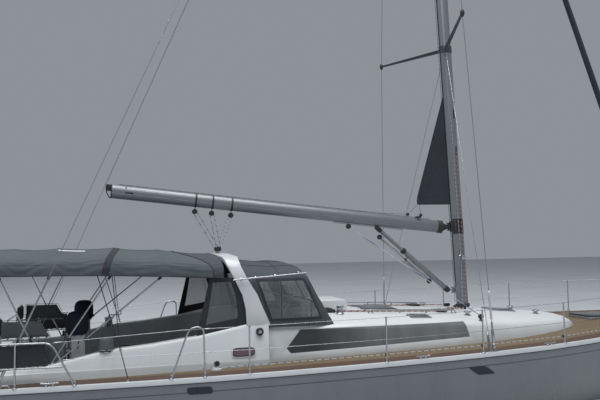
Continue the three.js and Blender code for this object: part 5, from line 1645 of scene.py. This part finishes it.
railing = {
    "tube": 0.014,
    "post": 0.013,
    "wire": 0.004,
    "height": 0.73,
    "inset": 0.028,
    "stanchions": [-3.46, -1.2, 0.6, 2.36, 4.0, 5.35],
    "hoop": [(-4.64, 0.0), (-4.4, 0.67), (-4.35, 0.735), (-4.24, 0.755), (-4.16, 0.71), (-4.14, 0.0)],
    "top": 1.805,
    "low": 1.455,
    "foot": -6.01,
    "fore": -6.33,
    "leg": -6.82,
    "cloth": [-7.215, -6.42],
}


def guardAt(x, side, above):
    z, half = railAt(x)
    return Vector((x, side * (half - railing["inset"]), z + above))


def basePiece(at, size=1.0):
    outline = [(36, 0), (36, 5), (20, 12), (17.5, 55), (14.5, 60)]
    return moved(turnedPiece([(r * size, h) for r, h in outline], 20, 0.001), at)


pushTop, pushLow = railing["top"], railing["low"]
footX, foreX = railing["foot"], railing["fore"]
footZ = railAt(footX)[0]
clothAft = railing["cloth"][0]
clothLong = railing["cloth"][1] - clothAft
foreY = guardAt(foreX, 1, 0).y


def pushX(z):
    return footX + (foreX - footX) * (z - footZ) / (pushTop - footZ)


def pushY(x):
    return foreY + (2.12 - foreY) * (x - foreX) / (-7.25 - foreX)


for name, side in sides.items():
    posts = [[guardAt(x, side, 0.002), guardAt(x, side, railing["height"])] for x in railing["stanchions"]]
    hoopRun = [guardAt(x, side, above) for x, above in railing["hoop"]]
    posts = tubePiece("posts", posts, railing["post"], resolution=4)
    hoopTube = tubePiece("hoop", [hoopRun], railing["post"], bend=0.09, resolution=4)
    wires, ends = [], []
    for above in (railing["height"] - 0.012, railing["height"] * 0.5):
        endZ = min(footZ + above, pushTop)
        endX = pushX(endZ) + 0.02
        wire = [Vector((endX, guardAt(endX, side, 0).y, endZ))]
        wire += [guardAt(x, side, above) for x in [-4.4, *railing["stanchions"], 6.23]]
        wires.append(wire)
        for at, to in ((wire[0], wire[1]), (guardAt(-4.14, side, above), wire[2]), (wire[-1], wire[-2])):
            screw = turnedPiece([(7.5, 0), (9.5, 6), (9.5, 75), (5.5, 85), (4.5, 140)], 14)
            ends.append(aimed(screw, to - at, at))
    wires = tubePiece("wires", wires, railing["wire"])
    bases = [basePiece(guardAt(x, side, 0.001)) for x in [*railing["stanchions"], -4.64, -4.14]]
    caps = [moved(turnedPiece([(13.5, -30), (15.5, -26), (15.5, -6), (10, 4.5)], 18, 0.001),
                  guardAt(x, side, railing["height"])) for x in railing["stanchions"]]
    rail = join(f"guard_rails_{name}", [posts, hoopTube, wires, *ends, *bases, *caps])
    dress(rail, "steel", replaces=[f"guard_rail_{name}"])

    aftRun = [(-7.25, side * 2.12), (-7.38, side * 2.06), (-7.4, side * 1.06)]
    (cornerX, cornerY), (innerX, innerY) = aftRun[1:]
    legX = railing["leg"]
    legFoot = (legX, side * pushY(legX), railAt(legX)[0])
    cornerFoot = (cornerX, cornerY, railAt(cornerX)[0])
    top = [guardAt(footX, side, 0.002), (foreX, side * foreY, pushTop), *[(x, y, pushTop) for x, y in aftRun]]
    low = [(pushX(pushLow), side * pushY(pushX(pushLow)), pushLow), *[(x, y, pushLow) for x, y in aftRun]]
    legs = [[legFoot, (*legFoot[:2], pushTop)], [cornerFoot, (cornerX, cornerY, pushTop)],
            [(innerX, innerY, pushLow - 0.004), (innerX, innerY, pushTop)]]
    push = join(f"pushpit_rails_{name}", [
        tubePiece("push", [top], railing["tube"], bend=0.12, resolution=4),
        tubePiece("low", [low], 0.0125, bend=0.08, resolution=4),
        tubePiece("legs", legs, railing["tube"], resolution=4),
        *[basePiece(at, 1.1) for at in (guardAt(footX, side, 0.001), legFoot, cornerFoot)]])
    dress(push, "steel", replaces=[f"pushpit_{name}"])

    # The cloth between the rails, pulled to scallops by its lacing
    def clothPlace(u, v):
        x = clothAft + u * clothLong
        eyelet = abs(sin(u * pi * 8))
        scallop = 0.01 * eyelet
        z = (pushLow + 0.016 + scallop) * (1 - v) + (pushTop - 0.016 - scallop) * v
        belly = 0.01 * sin(pi * v) * noise.noise(Vector((x * 6, z * 5, side))) + 0.006 * sin(pi * v)
        return Vector((x, side * (pushY(x) - 0.0165 - belly), z))
    cloth = gridPiece(f"weather_cloth_sheet_{name}", 56, 30, clothPlace)
    thicken(cloth, 0.003)
    dress(smooth(cloth, 60), "darkCloth", slot="canvas", replaces=[f"weather_cloth_{name}"])
    lacing = []
    for railZ, inner in ((pushTop, -1), (pushLow, 1)):
        for k in range(9):
            x = clothAft + clothLong * k / 8
            centre = Vector((x, side * pushY(x), railZ))
            ring = [centre + Vector((0.004 * a, side * -0.0168 * cos(a * pi / 4), 0.0168 * sin(a * pi / 4)))
                    for a in range(9)]
            ring.append(centre + Vector((0.03, side * -0.017, inner * 0.02)))
            lacing.append(ring)
    lacing = tubePiece(f"weather_cloth_lacing_{name}", lacing, 0.0022, resolution=1)
    dress(lacing, "whiteRope")

bowTop = 1.56 + 0.7
runs, thin = [], []
for side in bothSides:
    start = railAt(6.3)
    runs.append([guardAt(6.25, side, 0.002), (6.3, side * (start[1] - 0.03), start[0] + 0.72),
                 (7.25, side * 0.25, bowTop), (7.42, side * 0.13, bowTop), (7.42, 0, bowTop)])
    runs.append([guardAt(7.0, side, 0.002), (7.16, side * 0.285, bowTop - 0.005)])
    z0, half0 = railAt(6.27)
    z1 = railAt(7.09)[0]
    thin.append([(6.27, side * (half0 - 0.028), z0 + 0.35), (7.09, side * 0.352, z1 + 0.36)])
pulpit = [tubePiece("pulpit", runs, 0.014, bend=0.07, resolution=4),
          tubePiece("mid", thin, 0.011, resolution=3)]
pulpit += [basePiece(guardAt(x, side, 0.001), 1.1) for side in bothSides for x in (6.25, 7.0)]
dress(join("pulpit_rails", pulpit), "steel", replaces=["pulpit"])
bowLamps = [moved(turnedPiece([(30, 0), (36, 6), (36, 70), (26, 82)], 24, 0.002),
                  (7.33, side * 0.165, bowTop - 0.105)) for side in bothSides]
dress(join("bow_lamps", bowLamps), "black")

# Shrouds and backstays: round wire and rod with their chainplates
tangShape = [(22, -50), (26, -30), (26, 30), (22, 50)]
for name, side in sides.items():
    tipLow, tipHigh = tips[name]
    capEnd = onMast(-0.01, side * 0.074, mastLength - 0.2)
    lowEnd = onMast(-0.02, side * 0.074, 5.36)
    plateTop, lowTop = onSide(rig["capPlate"], side), onSide(rig["lowPlate"], side)
    cap = tubePiece("cap", [[plateTop, tipLow, tipHigh, capEnd]], 0.0068)
    lower = tubePiece("lower", [[lowTop, lowEnd]], 0.0058)
    z, half = railAt(plateTop.x)
    y = side * (half - 0.0275)
    pins = tubePiece("pins", [[(0.82, y, z + 0.002), plateTop], [(0.75, y, z + 0.002), lowTop]], 0.017,
                     resolution=3)
    plate = boxPiece((0.695, y - 0.024, z - 0.006), (0.885, y + 0.024, z + 0.012))
    tangs = [moved(turnedPiece(tangShape, 16, 0.001), at) for at in (capEnd, lowEnd)]
    shroud = join(f"shroud_wires_{name}", [cap, lower, pins, plate, *tangs])
    dress(shroud, "steel", replaces=[f"shrouds_{name}"])
    head = onMast(-0.285, side * 0.028, mastLength - 0.0135)
    x, y = rig["backstayFoot"][0], side * rig["backstayFoot"][1]
    z = railAt(x)[0]
    stay = tubePiece("stay", [[Vector((x, y, z + 0.02)), head]], 0.0058)
    plate = boxPiece((x - 0.04, y - 0.024, z + 0.001), (x + 0.04, y + 0.024, z + 0.036), 0.006)
    dress(join(f"backstay_wire_{name}", [stay, plate]), "steel", replaces=[f"backstay_{name}"])
print("Rails and stays drawn round")


# Helms: leather-covered wheels, pedestals with compass and throttle, soft covers, seats

compassShape = [(62, 0), (62, 12), (52, 20), (50, 40), (38, 62), (18, 72)]
helm = {"x": -6.2, "y": 1.07, "z": 1.5, "radius": 0.404, "rim": 0.0165, "spokes": 5}
for name, side in sides.items():
    y = side * helm["y"]
    centre = Vector((helm["x"], y, helm["z"]))

    def rimPoint(angle, radius=helm["radius"]):
        return centre + Vector((0, radius * cos(angle), radius * sin(angle)))
    rim = [rimPoint(tau * k / 96) for k in range(96)]
    rim = tubePiece(f"wheel_rim_{name}", [rim], helm["rim"], resolution=4, closed=True)
    dress(rim, "leather", f"wheel_{name}")
    inner, step = helm["radius"] - helm["rim"] - 0.0008, Vector((0.004, 0, 0))
    stitches = [[rimPoint(angle, inner) - step, rimPoint(angle + 0.03, inner) + step]
                for angle in (tau * k / 96 for k in range(96))]
    stitches = tubePiece(f"wheel_stitching_{name}", stitches, 0.0011, resolution=1)
    dress(stitches, "whiteRope", f"wheel_{name}")
    bow, outer = Vector((0.018, 0, 0)), helm["radius"] - 0.012
    spokes = [[rimPoint(angle, 0.03), rimPoint(angle, 0.2) + bow, rimPoint(angle, outer)]
              for angle in (tau * k / helm["spokes"] + pi / 2 for k in range(helm["spokes"]))]
    spokes = tubePiece("spokes", spokes, 0.0092, bend=0.08, resolution=3)
    boss = turnedPiece([(30, -36), (50, -28), (54, 0), (50, 20), (46, 29.5)], 32, 0.002)
    boss = aimed(boss, (1, 0, 0), centre)
    dress(join(f"wheel_spokes_{name}", [spokes, boss]), "steel", f"wheel_{name}", replaces=[f"wheel_{name}"])

    compass = moved(turnedPiece(compassShape, 28, 0.002), (-6.045, y, 1.958))
    panel = boxPiece((-6.13, y - 0.095, 1.66), (-6.1245, y + 0.095, 1.74), 0.002)
    nut = aimed(turnedPiece([(56, 0), (56, 10), (46, 22)], 28, 0.001), (-1, 0, 0), (-6.125, y, helm["z"]))
    lever = [(-6.03, y + side * 0.125, 1.56), (-6.03, y + side * 0.15, 1.57), (-6.00, y + side * 0.152, 1.7)]
    lever = tubePiece("lever", [lever], 0.009, bend=0.02, resolution=3)
    dress(join(f"helm_instruments_{name}", [compass, panel, nut, lever]), "black")


def drawcord(centre, halfLong, halfWide):
    x, y, z = centre
    return [(x + halfLong * cos(a), y + halfWide * sin(a), z) for a in (tau * k / 40 for k in range(41))]


def coverPlace(piece, low, high, roundness, folds):
    # Rounds a subdivided box to a soft bag with slack folds and a gathered hem
    middle = (Vector(low) + Vector(high)) / 2
    half = (Vector(high) - Vector(low)) / 2
    for vertex in piece.data.vertices:
        unit = Vector([(vertex.co[k] - middle[k]) / half[k] for k in range(3)])
        length = sum(abs(c) ** roundness for c in unit) ** (1 / roundness)
        unit = unit / max(length, 1e-6) if max(abs(c) for c in unit) > 0.98 else unit
        around = atan2(unit.y, unit.x)
        hang = min(max((0.35 - unit.z) / 1.3, 0), 1)
        gather = 1 + folds * hang * sin(around * 9 + 2 * unit.z) - 0.07 * max(hang - 0.75, 0) * 4
        vertex.co = middle + Vector((unit.x * half.x * gather, unit.y * half.y * gather, unit.z * half.z))


for name, side in sides.items():
    low, high = (-6.215, side * helm["y"] - 0.195, 1.735), (-5.865, side * helm["y"] + 0.195, 2.135)
    bag = boxPiece(low, high, 0)
    bag.name = f"helm_cover_{name}"
    edit(bag)
    bpy.ops.mesh.subdivide(number_cuts=22)
    objectMode()
    coverPlace(bag, low, high, 3.2, 0.035)
    dress(smooth(outward(bag), 70), "navyCloth")
    cordRun = drawcord((-6.04, side * helm["y"], 1.765), 0.15, 0.166)
    dress(tubePiece(f"helm_cover_drawcord_{name}", [cordRun], 0.004), "whiteRope")


def stuffed(piece, voxel, pressure, cap, seconds=20):
    # Closed shape to stuffed cushion: remeshed, blown up as cloth, kept within a distance of its shape
    modify(piece, "REMESH", mode="VOXEL", voxel_size=voxel)
    before = [v.co.copy() for v in piece.data.vertices]
    modifier = piece.modifiers.new("Cloth", "CLOTH")
    modifier.settings.use_pressure = True
    modifier.settings.uniform_pressure_force = pressure
    modifier.settings.effector_weights.gravity = 0
    modifier.settings.quality = 6
    for step in range(1, seconds + 1):
        bpy.context.scene.frame_set(step)
    pick(piece)
    bpy.ops.object.modifier_apply(modifier=modifier.name)
    bpy.context.scene.frame_set(1)
    for vertex, old in zip(piece.data.vertices, before):
        step = vertex.co - old
        if step.length > cap:
            vertex.co = old + step.normalized() * cap
    modify(piece, "SMOOTH", factor=0.5, iterations=3)
    modify(piece, "SUBSURF", levels=1, render_levels=1)
    return smooth(piece, 60)


seat = {"aft": -7.33, "fore": -6.86, "inner": 0.95, "outer": 1.45, "top": 1.3,
        "padAft": -7.235, "padFore": -6.405, "padLow": 1.775, "padTop": 2.065, "pad": 0.075}
for name, side in sides.items():
    ys = sorted([side * seat["inner"], side * seat["outer"]])
    aft, fore, top, padLow = (seat[key] for key in ("aft", "fore", "top", "padLow"))
    base = boxPiece((aft, ys[0], 0.7203), (fore, ys[1], top - 0.012), 0.014, 3)
    lid = boxPiece((aft - 0.002, ys[0] - 0.002, top - 0.011), (fore + 0.004, ys[1] + 0.002, top + 0.004),
                   0.006, 3)
    door = boxPiece((fore - 0.001, ys[0] + 0.07, 0.82), (fore + 0.006, ys[1] - 0.07, 1.18), 0.003)
    dress(join(f"helm_seat_base_{name}", [base, lid, door]), "plainGelcoat", replaces=[f"helm_seat_{name}"])
    slats = [boxPiece((x, ys[0] + 0.03, top + 0.0042), (x + 0.046, ys[1] - 0.03, top + 0.011), 0.002)
             for x in (aft + 0.03 + k * 0.052 for k in range(8))]
    dress(join(f"helm_seat_slats_{name}", slats), "boardTeak")
    posts = [[(x, side * y, top), (x, side * y, padLow + 0.03)]
             for x, y in ((-7.195, 0.99), (-7.195, 1.415), (-6.89, 1.415))]
    posts.append([(-7.195, side * 0.99, 1.765), (-7.195, side * 1.412, 1.765), (-6.435, side * 1.412, 1.765)])
    dress(tubePiece(f"helm_seat_posts_{name}", posts, 0.0135, bend=0.03, resolution=4), "steel")
    padOuter = sorted([side * seat["outer"], side * (seat["outer"] - seat["pad"])])
    padAft, low, high = seat["padAft"], padLow + 0.01, seat["padTop"] - 0.01
    for kind, low, high in (("back", (padAft + 0.012, ys[0] + 0.012, low),
                             (padAft + seat["pad"] - 0.012, ys[1] - 0.012, high)),
                            ("wing", (padAft + 0.1, padOuter[0] + 0.011, low),
                             (seat["padFore"] - 0.012, padOuter[1] - 0.011, high))):
        pad = boxPiece(low, high, 0.022, 3)
        pad.name = f"helm_{kind}_pad_{name}"
        if kind == "wing":
            for vertex in pad.data.vertices:
                share = (vertex.co.x - low[0]) / (high[0] - low[0])
                if vertex.co.z > 1.92 and share > 0.5:
                    vertex.co.x -= 0.13
        stuffed(pad, 0.012, 3.0, 0.012)
        dress(pad, "seatCloth")
        (x0, y0, z0), (x1, y1, z1) = low, high
        z0, z1 = z0 - 0.008, z1 + 0.008
        if kind == "back":
            x, y0, y1 = (x0 + x1) / 2, y0 - 0.01, y1 + 0.01
            loop = [(x, y0, z0), (x, y1, z0), (x, y1, z1), (x, y0, z1)]
        else:
            x0, y = x0 - 0.008, (y0 + y1) / 2
            loop = [(x0, y, z0), (x1 + 0.008, y, z0), (x1 - 0.122, y, z1), (x0, y, z1)]
        loop = rounded([*loop, loop[0], loop[1]], 0.03, 4)[1:-1]
        dress(tubePiece(f"helm_{kind}_piping_{name}", [loop], 0.004), "darkCloth")

cockpitWinch = (-5.58, 1.645, 1.546)
winches = [moved(winchPiece("cockpit_winch", 1.06), onSide(cockpitWinch, side)) for side in bothSides]
dress(join("cockpit_winches", winches), "steel")
capAt = Vector((cockpitWinch[0], -cockpitWinch[1], 1.56))
winchCap = turnedPiece([(118, 0), (117, 40), (110, 110), (105, 170), (92, 192), (50, 200)], 48)
winchCap.name = "winch_cover"
modify(winchCap, "SUBSURF", levels=1, render_levels=1)
for vertex in winchCap.data.vertices:
    around = atan2(vertex.co.y, vertex.co.x)
    hang = 1 - vertex.co.z / 0.2
    puff = 1 + 0.03 * hang * sin(around * 11 + 0.8) + 0.012 * noise.noise(vertex.co * 22)
    vertex.co = Vector((vertex.co.x * puff, vertex.co.y * puff, vertex.co.z))
dress(moved(smooth(winchCap, 60), capAt), "seatCloth")
capCord = drawcord(capAt + Vector((0, 0, 0.026)), 0.121, 0.121)
dress(tubePiece("winch_cover_drawcord", [capCord], 0.004), "whiteRope")
x, y, z = cockpitWinch
handle = [(x, y, 1.733), (x, y, 1.771), (-5.34, 1.66, 1.773), (-5.34, 1.66, 1.876)]
dress(tubePiece("winch_handle", [handle], 0.011, bend=0.02, resolution=3), "steel")

# The opening port in the coaming, a vent cowl on the deck, and a turning block at the arch's foot
def coamingFace(x, z, side):
    hit = roofTree.ray_cast(Vector((x, side * 3, z)), Vector((0, -side, 0)))
    return abs(hit[0].y)


def roundedPatch(name, aft, fore, low, high, side, grow, lift, thickness):
    def place(u, v):
        a, b = 2 * u - 1, 2 * v - 1
        reach = (abs(a) ** 5 + abs(b) ** 5) ** 0.2
        push = max(abs(a), abs(b)) / reach if reach else 1
        x = (aft + fore) / 2 + a * push * ((fore - aft) / 2 + grow)
        z = (low + high) / 2 + b * push * ((high - low) / 2 + grow)
        return Vector((x, side * (coamingFace(x, z, side) + lift), z))
    patch = gridPiece(name, 24, 12, place)
    thicken(outward(patch), thickness)
    return smooth(patch)


coaming = {
    "port": (-3.61, -3.26, 1.375, 1.5),    # aft, forward, low, high
    "cowl": (-3.9, 1.895),
    "block": (-3.165, 1.75),
}
rims, panes, chrome, edges = [], [], [], []
for side in bothSides:
    rims.append(roundedPatch("port_rim", *coaming["port"], side, 0.022, 0.006, 0.01))
    edges.append(roundedPatch("port_edge", *coaming["port"], side, 0.006, 0.009, 0.008))
    panes.append(roundedPatch("port_pane", *coaming["port"], side, -0.008, 0.013, 0.008))
    x, y = coaming["cowl"][0], side * coaming["cowl"][1]
    at = Vector((x, y, topAt(x, y)))
    puck = turnedPiece([(85, 0), (85, 30), (78, 42), (30, 46)], 36, 0.001)
    rims.append(moved(puck, at))
    neck = tubePiece("cowl_neck", [[at + Vector((0, 0, 0.04)), at + Vector((0, 0, 0.105)),
                                    at + Vector((0, side * 0.035, 0.112))]], 0.034, bend=0.02, resolution=4)
    mouth = turnedPiece([(34, -18), (50, 0), (50, 10), (38, 12), (36, 0)], 32, 0.001)
    chrome += [neck, aimed(mouth, (0, side, 0.1), at + Vector((0, side * 0.038, 0.112)))]
    # Painted shade: a black disc in the cowl's mouth stands for the dark inside it
    mouthShade = turnedPiece([(36, 0), (36, 4)], 28)
    edges.append(aimed(mouthShade, (0, side, 0.1), at + Vector((0, side * 0.038, 0.112))))
    x, z = coaming["block"]
    seatAt = Vector((x, side * (coamingFace(x, z, side) + 0.004), z))
    sheave = turnedPiece([(60, 6), (62, 10), (48, 22), (62, 34), (60, 38)], 32, 0.001)
    cheek = turnedPiece([(66, 0), (68, 4), (40, 8)], 32, 0.001)
    nut = turnedPiece([(30, 36), (30, 44), (18, 48)], 24, 0.001)
    edges.append(aimed(sheave, (0, side, 0), seatAt))
    chrome += [aimed(cheek, (0, side, 0), seatAt), aimed(nut, (0, side, 0), seatAt)]
dress(join("coaming_dark_parts", edges), "black")
dress(join("coaming_port_rims", rims), "whitePlastic")
dress(join("coaming_port_panes", panes), "mauve")
dress(join("coaming_fittings", chrome), "steel")
print("Helms and cockpit fitted out")
